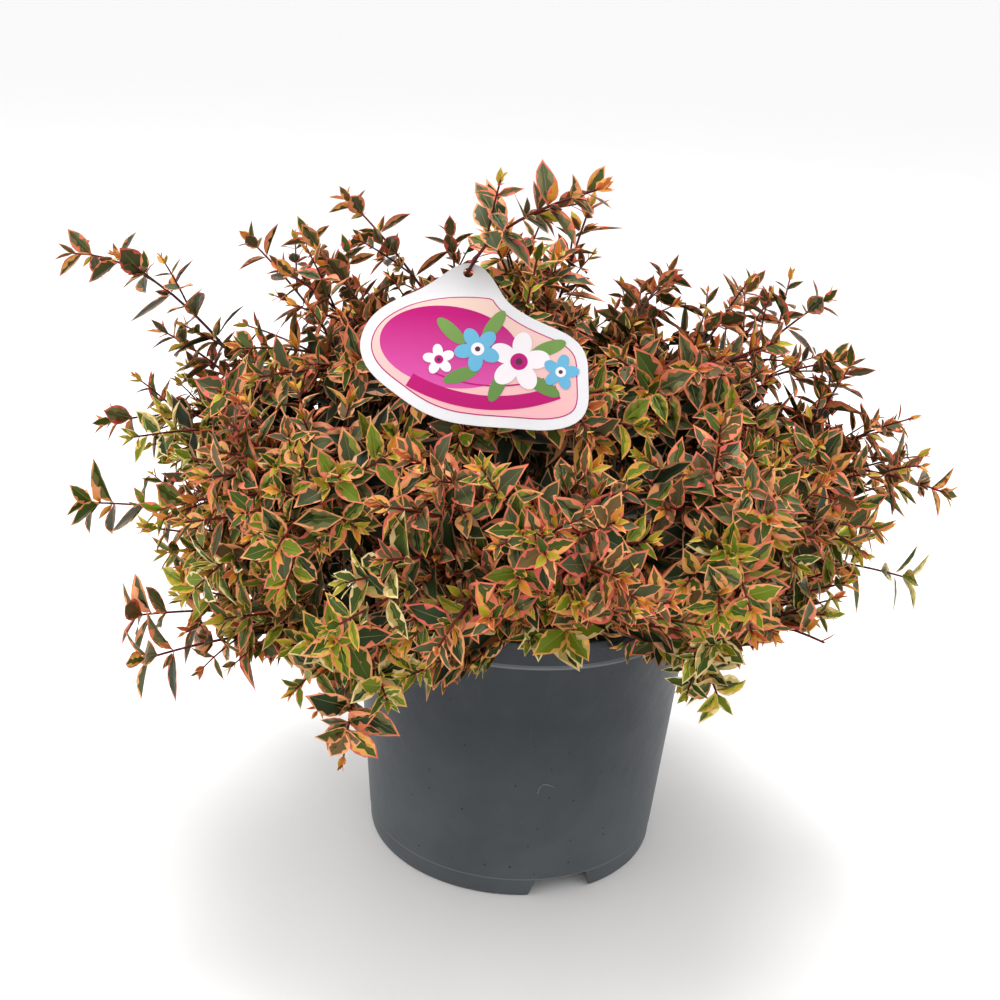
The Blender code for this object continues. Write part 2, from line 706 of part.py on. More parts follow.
class Mass:
    """One mass of foliage: a core, twigs and leaves that are fused to one closed body."""

    def __init__(self, space, seed):
        """Start with the stem that meets the bough and the core about the heart."""
        self.space = space
        self.dice = random.Random(seed)
        self.meshes = []
        self.centres = []
        stem = [space.entry, space.entry.lerp(space.heart, 0.5), space.heart]
        self.meshes.append(tube_mesh("stem", stem, [BOUGH_TIP_RADIUS] * 3, 6))
        self.core = core_mesh("core", space)

    def add_leaf(self, root, along, up, length):
        """Add a leaf where it has room, and say whether it was added."""
        along = along.normalized()
        corners = leaf_corners(root + along * LEAF_ROOT, along, up, length)
        centre = corners[4]
        if any((centre - other).length < LEAF_SPACING for other in self.centres):
            return False
        beyond = [p for p in samples(corners, LEAF_EDGES) if (p - root).length > LEAF_NECK]
        if not self.space.takes(beyond):
            return False
        self.centres.append(centre)
        self.meshes.append(leaf_mesh("leaf", corners))
        return True

    def add_pair(self, node, ahead, turn, pair):
        """Add two leaves on opposite sides of a node, closer to the twig where there is no room."""
        guide = Vector((0.0, 0.0, 1.0)) if abs(ahead.z) < 0.85 else Vector((1.0, 0.0, 0.0))
        side = ahead.cross(guide).normalized()
        side = Matrix.Rotation(turn, 3, ahead) @ side
        spread = math.radians(pair[0])
        size = LEAF_LENGTH * pair[1] * self.dice.uniform(*LEAF_SIZES)
        for sign in (1.0, -1.0):
            for closing, shrink in LEAF_TRIES:
                bend = spread * closing
                along = ahead * math.cos(bend) + side * (sign * math.sin(bend))
                upper = ahead * math.sin(bend) - side * (sign * math.cos(bend))
                upper = upper * LEAF_FACE_SHARE + Vector((0.0, 0.0, LEAF_SKY_SHARE))
                if self.add_leaf(node, along, upper, size * shrink):
                    break

    def add_twig(self, path, radii):
        """Add a three-sided twig, cut back to the stretch that keeps to the space."""
        keep = 1
        while keep < len(path) and self.space.takes(samples(path[keep - 1:keep + 1], ((0, 1),))[1:]):
            keep += 1
        if keep < 2:
            return []
        self.meshes.append(tube_mesh("twig", path[:keep], radii[:keep]))
        return path[:keep]

    def add_long_shoot(self, path):
        """Add a shoot with pairs of leaves along its free part and a tuft at its tip."""
        steps = len(path)
        radii = [TWIG_RADIUS + (TWIG_TIP_RADIUS - TWIG_RADIUS) * i / (steps - 1) for i in range(steps)]
        kept = self.add_twig(path, radii)
        if len(kept) < 2:
            return
        turn = self.dice.uniform(0.0, math.pi)
        run = 0.0
        for i in range(len(kept) - 1, 0, -1):
            segment = kept[i] - kept[i - 1]
            ahead = segment.normalized()
            if i == len(kept) - 1:
                end = kept[i] - ahead * NODE_INSET
                below = end - ahead * NODE_INSET * 2.0
                self.add_pair(end, ahead, turn, SHOOT_END_PAIR)
                self.add_pair(below, ahead, turn + math.pi * 0.5, SHOOT_TOP_PAIR)
            while run < segment.length:
                if run > 0.0:
                    turn += math.pi * 0.5
                    node = kept[i] - ahead * run
                    self.add_pair(node, ahead, turn, SHOOT_PAIR)
                run += SHOOT_NODE_STEP
            run -= segment.length

    def add_body_shoot(self, tip):
        """Add a short shoot of the cushion, with a pair below its tip and a pair at it."""
        start = self.space.heart
        span = tip - start
        ahead = span.normalized()
        kept = self.add_twig([start, tip], [TWIG_RADIUS, TWIG_TIP_RADIUS])
        if not kept:
            return
        end = tip - ahead * NODE_INSET
        turn = self.dice.uniform(0.0, math.pi)
        self.add_pair(end, ahead, turn, BODY_END_PAIR)
        below = end - ahead * BODY_NODE_STEP
        self.add_pair(below, ahead, turn + math.pi * 0.5, BODY_LOW_PAIR)

    def fuse(self, name, parts, material):
        """Join the core, twigs and leaves by one union and keep its one outer body."""
        for solver in ("EXACT", "MANIFOLD"):
            body = add_object(name, self.core.copy(), parts, material)
            pieces = bpy.data.collections.new(f"pieces_{name}")
            bpy.context.scene.collection.children.link(pieces)
            for i, mesh in enumerate(self.meshes):
                add_object(f"piece_{name}_{i}", mesh, pieces, None)
            join = body.modifiers.new("join", "BOOLEAN")
            join.operation = "UNION"
            join.solver = solver
            join.operand_type = "COLLECTION"
            join.collection = pieces
            bpy.context.view_layer.update()
            apply_modifiers(body)
            for piece in list(pieces.objects):
                bpy.data.objects.remove(piece, do_unlink=True)
            bpy.data.collections.remove(pieces)
            if keep_outer_body(body.data):
                return body
            bpy.data.objects.remove(body, do_unlink=True)
        raise RuntimeError(f"{name} does not close")


def groups_of(shape):
    """Connected groups of vertices, the largest first."""
    unseen = set(shape.verts)
    groups = []
    while unseen:
        stack = [unseen.pop()]
        group = []
        while stack:
            vertex = stack.pop()
            group.append(vertex)
            for edge in vertex.link_edges:
                other = edge.other_vert(vertex)
                if other in unseen:
                    unseen.remove(other)
                    stack.append(other)
        groups.append(group)
    return sorted(groups, key=len, reverse=True)


def keep_outer_body(mesh):
    """Drop loose scraps and sealed hollows, and say whether one closed body is left."""
    shape = bmesh.new()
    shape.from_mesh(mesh)
    bmesh.ops.triangulate(shape, faces=shape.faces)
    for group in groups_of(shape)[1:]:
        bmesh.ops.delete(shape, geom=group, context="VERTS")
    closed = all(len(edge.link_faces) == 2 for edge in shape.edges)
    shape.to_mesh(mesh)
    shape.free()
    return closed


def bough_path(space, level):
    """Arc of a bough from the stem's flank, or its top, to a mass's entry."""
    end = space.entry - space.axis * GAP
    if space.axis.z > TOP_UPRIGHT:
        start = Vector((0.0, 0.0, STEM_TOP + GAP))
        return bezier(start, start.lerp(end, 0.5), end, BOUGH_POINTS)
    azimuth = math.degrees(math.atan2(space.axis.y, space.axis.x))
    flank = polar(azimuth, STEM_RADIUS, level)
    control = end - space.axis * ((end - flank).length * BOUGH_EASE)
    rise = (control - flank).normalized()
    start = polar(azimuth, STEM_RADIUS + GAP + BOUGH_RADIUS * abs(rise.z), level)
    return bezier(start, control, end, BOUGH_POINTS)


def build_bough(name, path, parts, material):
    """One tapering limb: a curve with a bevel and filled ends."""
    curve = bpy.data.curves.new(name, "CURVE")
    curve.dimensions = "3D"
    curve.bevel_depth = BOUGH_RADIUS
    curve.bevel_resolution = 1
    curve.use_fill_caps = True
    spline = curve.splines.new("POLY")
    spline.points.add(len(path) - 1)
    for i, point in enumerate(path):
        share = i / (len(path) - 1)
        spline.points[i].co = (*point, 1.0)
        spline.points[i].radius = 1.0 + (BOUGH_TIP_RADIUS / BOUGH_RADIUS - 1.0) * share
    return add_object(name, curve, parts, material)


def body_tips(directions):
    """Even spread of shoot tips over the cushion, each with the index of the mass that it is in."""
    golden = math.pi * (3.0 - math.sqrt(5.0))
    found = []
    for k in range(BODY_SHOOTS):
        lift = 1.0 - (k + 0.5) / BODY_SHOOTS * (1.0 - BODY_LOWEST)
        flat = math.sqrt(1.0 - lift * lift)
        way = Vector((flat * math.cos(k * golden), flat * math.sin(k * golden), lift))
        owner = max(range(len(directions)), key=lambda i: directions[i].dot(way))
        real = real_direction(way)
        found.append((owner, FOCUS + real * (crown_reach(real) - BODY_INSET)))
    return found


def shoot_path(start, azimuth, reach, height, arch=SHOOT_ARCH):
    """Arching path of a long shoot from a mass's heart to its tip."""
    outermost = polar(azimuth, reach, height)
    tip = outermost + (start - outermost).normalized() * SHOOT_TUFT
    span = (tip - start).length
    control = start.lerp(tip, 0.5) + Vector((0.0, 0.0, span * arch))
    return bezier(start, control, tip, SHOOT_POINTS)


def label_shoot_path(heart):
    """Path of the shoot that comes up behind the card, through its hole, and leans over."""
    lean = LABEL_SHOOT_LEAN.normalized()
    up = label_matrix().to_3x3() @ Vector((0.0, 1.0, 0.0))
    through = LABEL_HOLE + up * (LABEL_HOLE_RADIUS - TWIG_RADIUS - GAP)
    before = through - lean * LABEL_SHOOT_STRAIGHT
    after = through + lean * LABEL_SHOOT_STRAIGHT
    lower = bezier(heart, LABEL_SHOOT_BEND, before, 4)
    upper = bezier(after, after + lean * LABEL_SHOOT_EASE, LABEL_SHOOT_TIP, 4)
    return lower + upper


def build_label_shoot(mass):
    """Add the shoot that carries the card, and its leaves beyond the hole."""
    path = label_shoot_path(mass.space.heart)
    radii = [TWIG_RADIUS * (1.0 - LABEL_SHOOT_TAPER * i) for i in range(len(path))]
    mass.meshes.append(tube_mesh("twig", path, radii))
    turn = LABEL_SHOOT_TURN
    for i in LABEL_SHOOT_NODES:
        ahead = (path[i] - path[i - 1]).normalized()
        turn += math.pi * 0.5
        mass.add_pair(path[i], ahead, turn, LABEL_PAIR)
    mass.add_pair(path[-1], ahead, turn + math.pi * 0.5, LABEL_END_PAIR)


def build_crown(parts):
    """Boughs and masses of foliage all round the stem."""
    directions = [stretched_direction(azimuth, elevation) for _, azimuth, elevation in MASSES]
    guard = LabelGuard()
    spaces = [Space(MASSES[i][0], i, directions, guard) for i in range(len(MASSES))]
    tips = body_tips(directions)
    bark = finish("bough_bark", BARK)
    looks = [finish("foliage_green", LEAF_GREEN), finish("foliage_coral", LEAF_CORAL),
             finish("foliage_olive", LEAF_OLIVE)]
    for index, (name, _, ring) in enumerate(MASSES):
        space = spaces[index]
        path = bough_path(space, BOUGH_LEVELS.get(ring, STEM_TOP))
        build_bough(f"bough_{name}", path, parts, bark)
        mass = Mass(space, SEED + index)
        if name == LABEL_SHOOT:
            build_label_shoot(mass)
        for owner, *place in LONG_SHOOTS:
            if owner == name:
                mass.add_long_shoot(shoot_path(space.heart, *place))
        for owner, tip in tips:
            if owner == index:
                mass.add_body_shoot(tip)
        mass.fuse(f"foliage_{name}", parts, looks[index % len(looks)])


def main():
    """Build the whole plant in its pot."""
    clear_scene()
    parts = new_collection("glossy_abelia")
    cutters = new_collection("cutters")
    build_pot(parts, cutters)
    build_root_ball(parts)
    build_stem(parts)
    build_label(parts)
    build_crown(parts)


main()
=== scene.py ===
"""Looks of the potted variegated glossy abelia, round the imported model. Metres, +Z up."""

from __future__ import annotations

import logging
import math
import random
from dataclasses import dataclass, field
from enum import Enum

import bpy
import numpy as np
from mathutils import Matrix, Vector, noise

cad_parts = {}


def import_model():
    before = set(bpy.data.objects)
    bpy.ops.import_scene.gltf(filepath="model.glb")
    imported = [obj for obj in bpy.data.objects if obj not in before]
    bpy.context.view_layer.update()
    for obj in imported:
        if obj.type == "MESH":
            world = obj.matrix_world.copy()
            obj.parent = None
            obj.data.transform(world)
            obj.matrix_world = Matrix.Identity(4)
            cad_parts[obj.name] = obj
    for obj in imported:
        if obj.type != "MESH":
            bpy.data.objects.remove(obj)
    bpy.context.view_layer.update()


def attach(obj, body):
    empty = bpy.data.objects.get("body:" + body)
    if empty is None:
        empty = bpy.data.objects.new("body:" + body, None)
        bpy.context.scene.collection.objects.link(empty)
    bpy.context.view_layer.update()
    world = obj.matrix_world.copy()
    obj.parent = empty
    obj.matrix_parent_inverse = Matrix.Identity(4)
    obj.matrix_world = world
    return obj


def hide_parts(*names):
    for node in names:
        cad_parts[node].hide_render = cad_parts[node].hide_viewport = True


LOG = logging.getLogger("abelia")
BODY = "root"
UP = Vector((0.0, 0.0, 1.0))
RIGHT = Vector((1.0, 0.0, 0.0))
GOLDEN_ANGLE = math.pi * (3.0 - math.sqrt(5.0))

Colour = tuple[float, float, float]
Profile = list[tuple[float, float]]


def shade(red: int, green: int, blue: int) -> Colour:
    """Linear colour of a shade.

    Args:
        red: Red on a screen, 0 to 255.
        green: Green on a screen, 0 to 255.
        blue: Blue on a screen, 0 to 255.

    Returns:
        The same shade as linear values.
    """
    parts = [value / 255.0 for value in (red, green, blue)]
    linear = [v / 12.92 if v <= 0.04045 else ((v + 0.055) / 1.055) ** 2.4 for v in parts]
    return linear[0], linear[1], linear[2]


def polar(azimuth: float, radius: float, height: float) -> Vector:
    """Point round the pot's axis.

    Args:
        azimuth: Angle in degrees.
        radius: Distance from the axis.
        height: Height over the floor.

    Returns:
        The point.
    """
    angle = math.radians(azimuth)
    return Vector((radius * math.cos(angle), radius * math.sin(angle), height))


# Finishes


class Recipe:
    """Node tree of one material, with its Principled shader."""

    def __init__(self, name: str, roughness: float) -> None:
        """Start the material.

        Args:
            name: Name of the material.
            roughness: Even roughness, until a node drives it.
        """
        self.material = bpy.data.materials.new(name)
        self.material.use_nodes = True
        self.tree = self.material.node_tree
        self.shader = self.tree.nodes["Principled BSDF"]
        self.shader.inputs["Roughness"].default_value = roughness
        self.place = self.tree.nodes.new("ShaderNodeTexCoord").outputs["Object"]

    def link(self, source: bpy.types.NodeSocket, target: bpy.types.NodeSocket) -> None:
        """Join two sockets."""
        self.tree.links.new(source, target)

    def effect(self, group: bpy.types.NodeTree, **values: float) -> bpy.types.Node:
        """Place a shared effect.

        Args:
            group: The shared node group.
            values: Its named inputs.

        Returns:
            The group's node, fed with Object coordinates.
        """
        node = self.tree.nodes.new("ShaderNodeGroup")
        node.node_tree = group
        self.link(self.place, node.inputs["Place"])
        for name, value in values.items():
            node.inputs[name].default_value = value
        return node

    def blend(self, mask: bpy.types.NodeSocket, first: object, second: object) -> bpy.types.NodeSocket:
        """Mix two colours by a mask.

        Args:
            mask: The mask's output.
            first: Colour or output where the mask is 0.
            second: Colour or output where the mask is 1.

        Returns:
            The mixed colour's output.
        """
        node = self.tree.nodes.new("ShaderNodeMix")
        node.data_type = "RGBA"
        self.link(mask, node.inputs["Factor"])
        for socket, value in ((node.inputs[6], first), (node.inputs[7], second)):
            if isinstance(value, tuple):
                socket.default_value = (*value, 1.0)
            else:
                self.link(value, socket)
        return node.outputs[2]

    def ranged(self, source: bpy.types.NodeSocket, low: float, high: float, start: float = 0.0,
               end: float = 1.0) -> bpy.types.NodeSocket:
        """Map a value to a range.

        Args:
            source: The value's output, read from start to end.
            low: Result at start.
            high: Result at end.
            start: Value that gives low.
            end: Value that gives high.

        Returns:
            The mapped output.
        """
        node = self.tree.nodes.new("ShaderNodeMapRange")
        self.link(source, node.inputs["Value"])
        for name, value in (("From Min", start), ("From Max", end), ("To Min", low), ("To Max", high)):
            node.inputs[name].default_value = value
        return node.outputs["Result"]

    def relief(self, height: bpy.types.NodeSocket, depth: float) -> None:
        """Raise the surface by a height.

        Args:
            height: The height's output.
            depth: Depth of the relief in metres.
        """
        node = self.tree.nodes.new("ShaderNodeBump")
        node.inputs["Distance"].default_value = depth
        node.inputs["Strength"].default_value = 1.0
        if self.shader.inputs["Normal"].is_linked:
            self.link(self.shader.inputs["Normal"].links[0].from_socket, node.inputs["Normal"])
        self.link(height, node.inputs["Height"])
        self.link(node.outputs["Normal"], self.shader.inputs["Normal"])

    def colour(self, source: bpy.types.NodeSocket) -> None:
        """Drive the base colour."""
        self.link(source, self.shader.inputs["Base Color"])

    def roughness(self, source: bpy.types.NodeSocket) -> None:
        """Drive the roughness."""
        self.link(source, self.shader.inputs["Roughness"])


class Effects:
    """Shader node groups that several finishes share, each built once."""

    def __init__(self) -> None:
        """Build the groups."""
        self.grain = self._grain()
        self.specks = self._specks()
        self.dust = self._dust()

    def _group(self, name: str, inputs: dict[str, float], output: str) -> bpy.types.NodeTree:
        """Start a group.

        Args:
            name: Name of the group.
            inputs: Its inputs with their usual values, besides Place.
            output: Name of its one output.

        Returns:
            The group, with its input and output nodes.
        """
        tree = bpy.data.node_groups.new(name, "ShaderNodeTree")
        tree.interface.new_socket("Place", in_out="INPUT", socket_type="NodeSocketVector")
        for label, value in inputs.items():
            socket = tree.interface.new_socket(label, in_out="INPUT", socket_type="NodeSocketFloat")
            socket.default_value = value
        tree.interface.new_socket(output, in_out="OUTPUT", socket_type="NodeSocketFloat")
        tree.nodes.new("NodeGroupInput").name = "given"
        tree.nodes.new("NodeGroupOutput").name = "result"
        return tree

    def _grain(self) -> bpy.types.NodeTree:
        """Soft noise that may be drawn out along one axis.

        Returns:
            The group, whose Height runs from 0 to 1.
        """
        tree = self._group("grain", {"Scale": 400.0, "Detail": 3.0, "Stretch": 1.0}, "Height")
        given, result = tree.nodes["given"].outputs, tree.nodes["result"].inputs
        drawn = tree.nodes.new("ShaderNodeCombineXYZ")
        drawn.inputs["X"].default_value = drawn.inputs["Y"].default_value = 1.0
        scaled = tree.nodes.new("ShaderNodeVectorMath")
        scaled.operation = "MULTIPLY"
        cloud = tree.nodes.new("ShaderNodeTexNoise")
        cloud.inputs["Roughness"].default_value = 0.6
        tree.links.new(given["Stretch"], drawn.inputs["Z"])
        tree.links.new(given["Place"], scaled.inputs[0])
        tree.links.new(drawn.outputs[0], scaled.inputs[1])
        tree.links.new(scaled.outputs[0], cloud.inputs["Vector"])
        tree.links.new(given["Scale"], cloud.inputs["Scale"])
        tree.links.new(given["Detail"], cloud.inputs["Detail"])
        tree.links.new(cloud.outputs[0], result["Height"])
        return tree

    def _specks(self) -> bpy.types.NodeTree:
        """Scattered small spots.

        Returns:
            The group, whose Mask is 1 in a spot.
        """
        tree = self._group("specks", {"Scale": 300.0, "Size": 0.2, "Share": 0.3}, "Mask")
        given, result = tree.nodes["given"].outputs, tree.nodes["result"].inputs
        cells = tree.nodes.new("ShaderNodeTexVoronoi")
        near = tree.nodes.new("ShaderNodeMath")
        near.operation = "LESS_THAN"
        parts = tree.nodes.new("ShaderNodeSeparateColor")
        chosen = tree.nodes.new("ShaderNodeMath")
        chosen.operation = "LESS_THAN"
        both = tree.nodes.new("ShaderNodeMath")
        both.operation = "MULTIPLY"
        tree.links.new(given["Place"], cells.inputs["Vector"])
        tree.links.new(given["Scale"], cells.inputs["Scale"])
        tree.links.new(cells.outputs["Distance"], near.inputs[0])
        tree.links.new(given["Size"], near.inputs[1])
        tree.links.new(cells.outputs["Color"], parts.inputs[0])
        tree.links.new(parts.outputs[0], chosen.inputs[0])
        tree.links.new(given["Share"], chosen.inputs[1])
        tree.links.new(near.outputs[0], both.inputs[0])
        tree.links.new(chosen.outputs[0], both.inputs[1])
        tree.links.new(both.outputs[0], result["Mask"])
        return tree

    def _dust(self) -> bpy.types.NodeTree:
        """Patchy dust that settles where a surface faces up.

        Returns:
            The group, whose Mask runs from 0 to 1.
        """
        tree = self._group("dust", {"Scale": 60.0, "Amount": 0.5, "Walls": 0.1}, "Mask")
        given, result = tree.nodes["given"].outputs, tree.nodes["result"].inputs
        faces = tree.nodes.new("ShaderNodeNewGeometry")
        parts = tree.nodes.new("ShaderNodeSeparateXYZ")
        level = tree.nodes.new("ShaderNodeMapRange")
        cloud = tree.nodes.new("ShaderNodeTexNoise")
        cloud.inputs["Detail"].default_value = 5.0
        patch = tree.nodes.new("ShaderNodeMapRange")
        patch.inputs["From Min"].default_value, patch.inputs["From Max"].default_value = 0.4, 0.7
        product = tree.nodes.new("ShaderNodeMath")
        product.operation = "MULTIPLY"
        scaled = tree.nodes.new("ShaderNodeMath")
        scaled.operation = "MULTIPLY"
        tree.links.new(faces.outputs["Normal"], parts.inputs[0])
        tree.links.new(parts.outputs["Z"], level.inputs["Value"])
        tree.links.new(given["Walls"], level.inputs["To Min"])
        tree.links.new(given["Place"], cloud.inputs["Vector"])
        tree.links.new(given["Scale"], cloud.inputs["Scale"])
        tree.links.new(cloud.outputs[0], patch.inputs["Value"])
        tree.links.new(level.outputs[0], product.inputs[0])
        tree.links.new(patch.outputs[0], product.inputs[1])
        tree.links.new(product.outputs[0], scaled.inputs[0])
        tree.links.new(given["Amount"], scaled.inputs[1])
        tree.links.new(scaled.outputs[0], result["Mask"])
        return tree


@dataclass(frozen=True)
class Tint:
    """Colour of a leaf's zone or a twig. It lies where its faces are, so it is even."""

    name: str
    colour: Colour
    roughness: float = 0.50
    specular: float = 0.16

    def material(self) -> bpy.types.Material:
        """The tint's material, made when it is first asked for."""
        known = bpy.data.materials.get(self.name)
        if known is not None:
            return known
        recipe = Recipe(self.name, self.roughness)
        recipe.shader.inputs["Base Color"].default_value = (*self.colour, 1.0)
        recipe.shader.inputs["Specular IOR Level"].default_value = self.specular
        return recipe.material


@dataclass(frozen=True)
class MouldedPlastic:
    """Dark slate grey plastic of the pot, a little dusty, specked and scuffed, and paler towards its foot: its upper
    wall is darkened as painted shade under the crown, and pale lines on its steps are painted highlights.
    """

    dark: Colour = shade(70, 76, 80)
    light: Colour = shade(82, 88, 92)
    # Painted shade under the crown: the wall darkens towards this colour from the foot up to the given height.
    painted_shade: Colour = shade(38, 44, 50)
    painted_shade_share: float = 0.95
    painted_shade_height: float = 0.105
    specular: float = 0.3
    speck: Colour = shade(30, 32, 34)
    dust: Colour = shade(98, 98, 94)
    # Painted highlight on the shoulder ledge and the foot step, where each step catches light; height, half width and
    # share of each line.
    step_highlight: Colour = shade(140, 144, 148)
    highlight_lines: tuple[tuple[float, float, float], ...] = ((0.1389, 0.0010, 1.0), (0.0103, 0.0007, 0.35))

    def material(self, effects: Effects) -> bpy.types.Material:
        """Make the finish.

        Args:
            effects: The shared groups.

        Returns:
            The material.
        """
        recipe = Recipe("pot_plastic_look", 0.46)
        recipe.shader.inputs["Specular IOR Level"].default_value = self.specular
        broad = recipe.effect(effects.grain, Scale=22.0, Detail=4.0).outputs[0]
        fine = recipe.effect(effects.grain, Scale=1500.0, Detail=2.0).outputs[0]
        rub = recipe.effect(effects.grain, Scale=240.0, Detail=2.0, Stretch=0.08).outputs[0]
        specks = recipe.effect(effects.specks, Scale=230.0, Size=0.14, Share=0.10).outputs[0]
        dust = recipe.effect(effects.dust, Scale=70.0, Amount=0.7, Walls=0.10).outputs[0]
        colour = recipe.blend(recipe.ranged(broad, 0.0, 1.0, 0.35, 0.65), self.dark, self.light)
        height = recipe.tree.nodes.new("ShaderNodeSeparateXYZ")
        recipe.link(recipe.place, height.inputs[0])
        # Painted shade under the crown: darker up the wall, at its full share from the given height up.
        rise = recipe.ranged(height.outputs["Z"], 0.0, self.painted_shade_share, 0.0, self.painted_shade_height)
        colour = recipe.blend(rise, colour, self.painted_shade)
        colour = recipe.blend(recipe.ranged(rub, 0.0, 0.07, 0.66, 0.80), colour, self.dust)
        colour = recipe.blend(specks, colour, self.speck)
        colour = recipe.blend(dust, colour, self.dust)
        # Painted highlights along the steps of the wall.
        for height, width, share in self.highlight_lines:
            colour = recipe.blend(self._highlight_line(recipe, height, width, share), colour, self.step_highlight)
        recipe.colour(colour)
        recipe.roughness(recipe.ranged(broad, 0.40, 0.54, 0.3, 0.7))
        recipe.relief(fine, 0.00006)
        recipe.relief(broad, 0.0012)
        return recipe.material

    def _highlight_line(self, recipe: Recipe, height: float, width: float, share: float) -> bpy.types.NodeSocket:
        """Thin pale line round the wall, a painted highlight where a step catches light.

        Args:
            recipe: The material in the making.
            height: Height of the line.
            width: Half its width.
            share: How much of the line's colour shows at its middle.

        Returns:
            The mask's output.
        """
        parts = recipe.tree.nodes.new("ShaderNodeSeparateXYZ")
        recipe.link(recipe.place, parts.inputs[0])
        off = recipe.tree.nodes.new("ShaderNodeMath")
        off.operation = "SUBTRACT"
        off.inputs[1].default_value = height
        away = recipe.tree.nodes.new("ShaderNodeMath")
        away.operation = "ABSOLUTE"
        recipe.link(parts.outputs["Z"], off.inputs[0])
        recipe.link(off.outputs[0], away.inputs[0])
        return recipe.ranged(away.outputs[0], share, 0.0, 0.3 * width, width)


@dataclass(frozen=True)
class MoistCompost:
    """Dark brown peat with paler fibres."""

    dark: Colour = shade(34, 26, 20)
    light: Colour = shade(74, 56, 42)
    fibre: Colour = shade(120, 94, 66)

    def material(self, effects: Effects) -> bpy.types.Material:
        """Make the finish.

        Args:
            effects: The shared groups.

        Returns:
            The material.
        """
        recipe = Recipe("compost_look", 0.95)
        clumps = recipe.effect(effects.grain, Scale=180.0, Detail=8.0).outputs[0]
        fibres = recipe.effect(effects.grain, Scale=700.0, Detail=3.0, Stretch=0.3).outputs[0]
        colour = recipe.blend(recipe.ranged(clumps, 0.0, 1.0, 0.35, 0.70), self.dark, self.light)
        colour = recipe.blend(recipe.ranged(fibres, 0.0, 0.8, 0.62, 0.75), colour, self.fibre)
        recipe.colour(colour)
        recipe.relief(clumps, 0.0016)
        return recipe.material


@dataclass(frozen=True)
class ThinBark:
    """Red-brown bark that peels in long strips."""

    strip: Colour = shade(124, 84, 62)
    groove: Colour = shade(60, 34, 28)
    flush: Colour = shade(104, 46, 40)

    def material(self, effects: Effects) -> bpy.types.Material:
        """Make the finish.

        Args:
            effects: The shared groups.

        Returns:
            The material.
        """
        recipe = Recipe("bark_look", 0.70)
        strips = recipe.effect(effects.grain, Scale=900.0, Detail=4.0, Stretch=0.12).outputs[0]
        patches = recipe.effect(effects.grain, Scale=120.0, Detail=3.0).outputs[0]
        colour = recipe.blend(recipe.ranged(strips, 0.0, 1.0, 0.35, 0.65), self.groove, self.strip)
        colour = recipe.blend(recipe.ranged(patches, 0.0, 0.7, 0.45, 0.7), colour, self.flush)
        recipe.colour(colour)
        recipe.roughness(recipe.ranged(strips, 0.80, 0.58))
        recipe.relief(strips, 0.0005)
        return recipe.material


@dataclass(frozen=True)
class CoatedCard:
    """White plastic card, faintly mottled, with painted shade that greys its bare tab."""

    white: Colour = shade(224, 223, 225)
    shadow: Colour = shade(214, 213, 217)
    # Painted shade that greys the tab, faded in between the two heights below.
    tab: Colour = shade(180, 178, 178)
    tab_shade_foot: float = 0.318
    tab_shade_head: float = 0.331

    def material(self, effects: Effects) -> bpy.types.Material:
        """Make the finish.

        Args:
            effects: The shared groups.

        Returns:
            The material.
        """
        recipe = Recipe("card_look", 0.32)
        mottle = recipe.effect(effects.grain, Scale=90.0, Detail=3.0).outputs[0]
        parts = recipe.tree.nodes.new("ShaderNodeSeparateXYZ")
        recipe.link(recipe.place, parts.inputs[0])
        # Painted shade: grey over the tab.
        tab = recipe.ranged(parts.outputs["Z"], 0.0, 1.0, self.tab_shade_foot, self.tab_shade_head)
        recipe.colour(recipe.blend(tab, recipe.blend(mottle, self.white, self.shadow), self.tab))
        recipe.relief(mottle, 0.00025)
        return recipe.material


@dataclass(frozen=True)
class PrintedInk:
    """Ink that fades from one colour to another between two heights."""

    name: str
    lower: Colour
    upper: Colour
    lowest: float
    highest: float

    def material(self, effects: Effects) -> bpy.types.Material:
        """Make the finish.

        Args:
            effects: The shared groups.

        Returns:
            The material.
        """
        recipe = Recipe(self.name, 0.40)
        recipe.shader.inputs["Specular IOR Level"].default_value = 0.2
        parts = recipe.tree.nodes.new("ShaderNodeSeparateXYZ")
        recipe.link(recipe.place, parts.inputs[0])
        fade = recipe.ranged(parts.outputs["Z"], 0.0, 1.0, self.lowest, self.highest)
        mottle = recipe.effect(effects.grain, Scale=90.0, Detail=3.0).outputs[0]
        recipe.colour(recipe.blend(fade, self.lower, self.upper))
        recipe.relief(mottle, 0.00025)
        return recipe.material


# Workbench


def drop_selection() -> None:
    """Leave edit mode and deselect everything."""
    if bpy.context.object is not None and bpy.context.object.mode != "OBJECT":
        bpy.ops.object.mode_set(mode="OBJECT")
    bpy.ops.object.select_all(action="DESELECT")


def take_up(name: str) -> bpy.types.Object:
    """Name the piece that was just added.

    Args:
        name: Name of the piece and of its mesh.

    Returns:
        The active object.
    """
    piece = bpy.context.object
    piece.name = name
    piece.data.name = name
    return piece


def edit(piece: bpy.types.Object) -> None:
    """Go to edit mode on one piece, with all of it selected."""
    drop_selection()
    piece.select_set(True)
    bpy.context.view_layer.objects.active = piece
    bpy.ops.object.mode_set(mode="EDIT")
    bpy.ops.mesh.select_all(action="SELECT")


def settle(piece: bpy.types.Object) -> None:
    """Put the piece's place into its mesh, so that its object sits at the origin."""
    drop_selection()
    piece.select_set(True)
    bpy.context.view_layer.objects.active = piece
    bpy.ops.object.transform_apply(location=True, rotation=True, scale=True)


def joined(name: str, pieces: list[bpy.types.Object]) -> bpy.types.Object:
    """Join pieces to one.

    Args:
        name: Name of the joined piece.
        pieces: The pieces, each at the origin.

    Returns:
        The joined piece.
    """
    drop_selection()
    for piece in pieces:
        piece.select_set(True)
    bpy.context.view_layer.objects.active = pieces[0]
    if len(pieces) > 1:
        bpy.ops.object.join()
    return take_up(name)


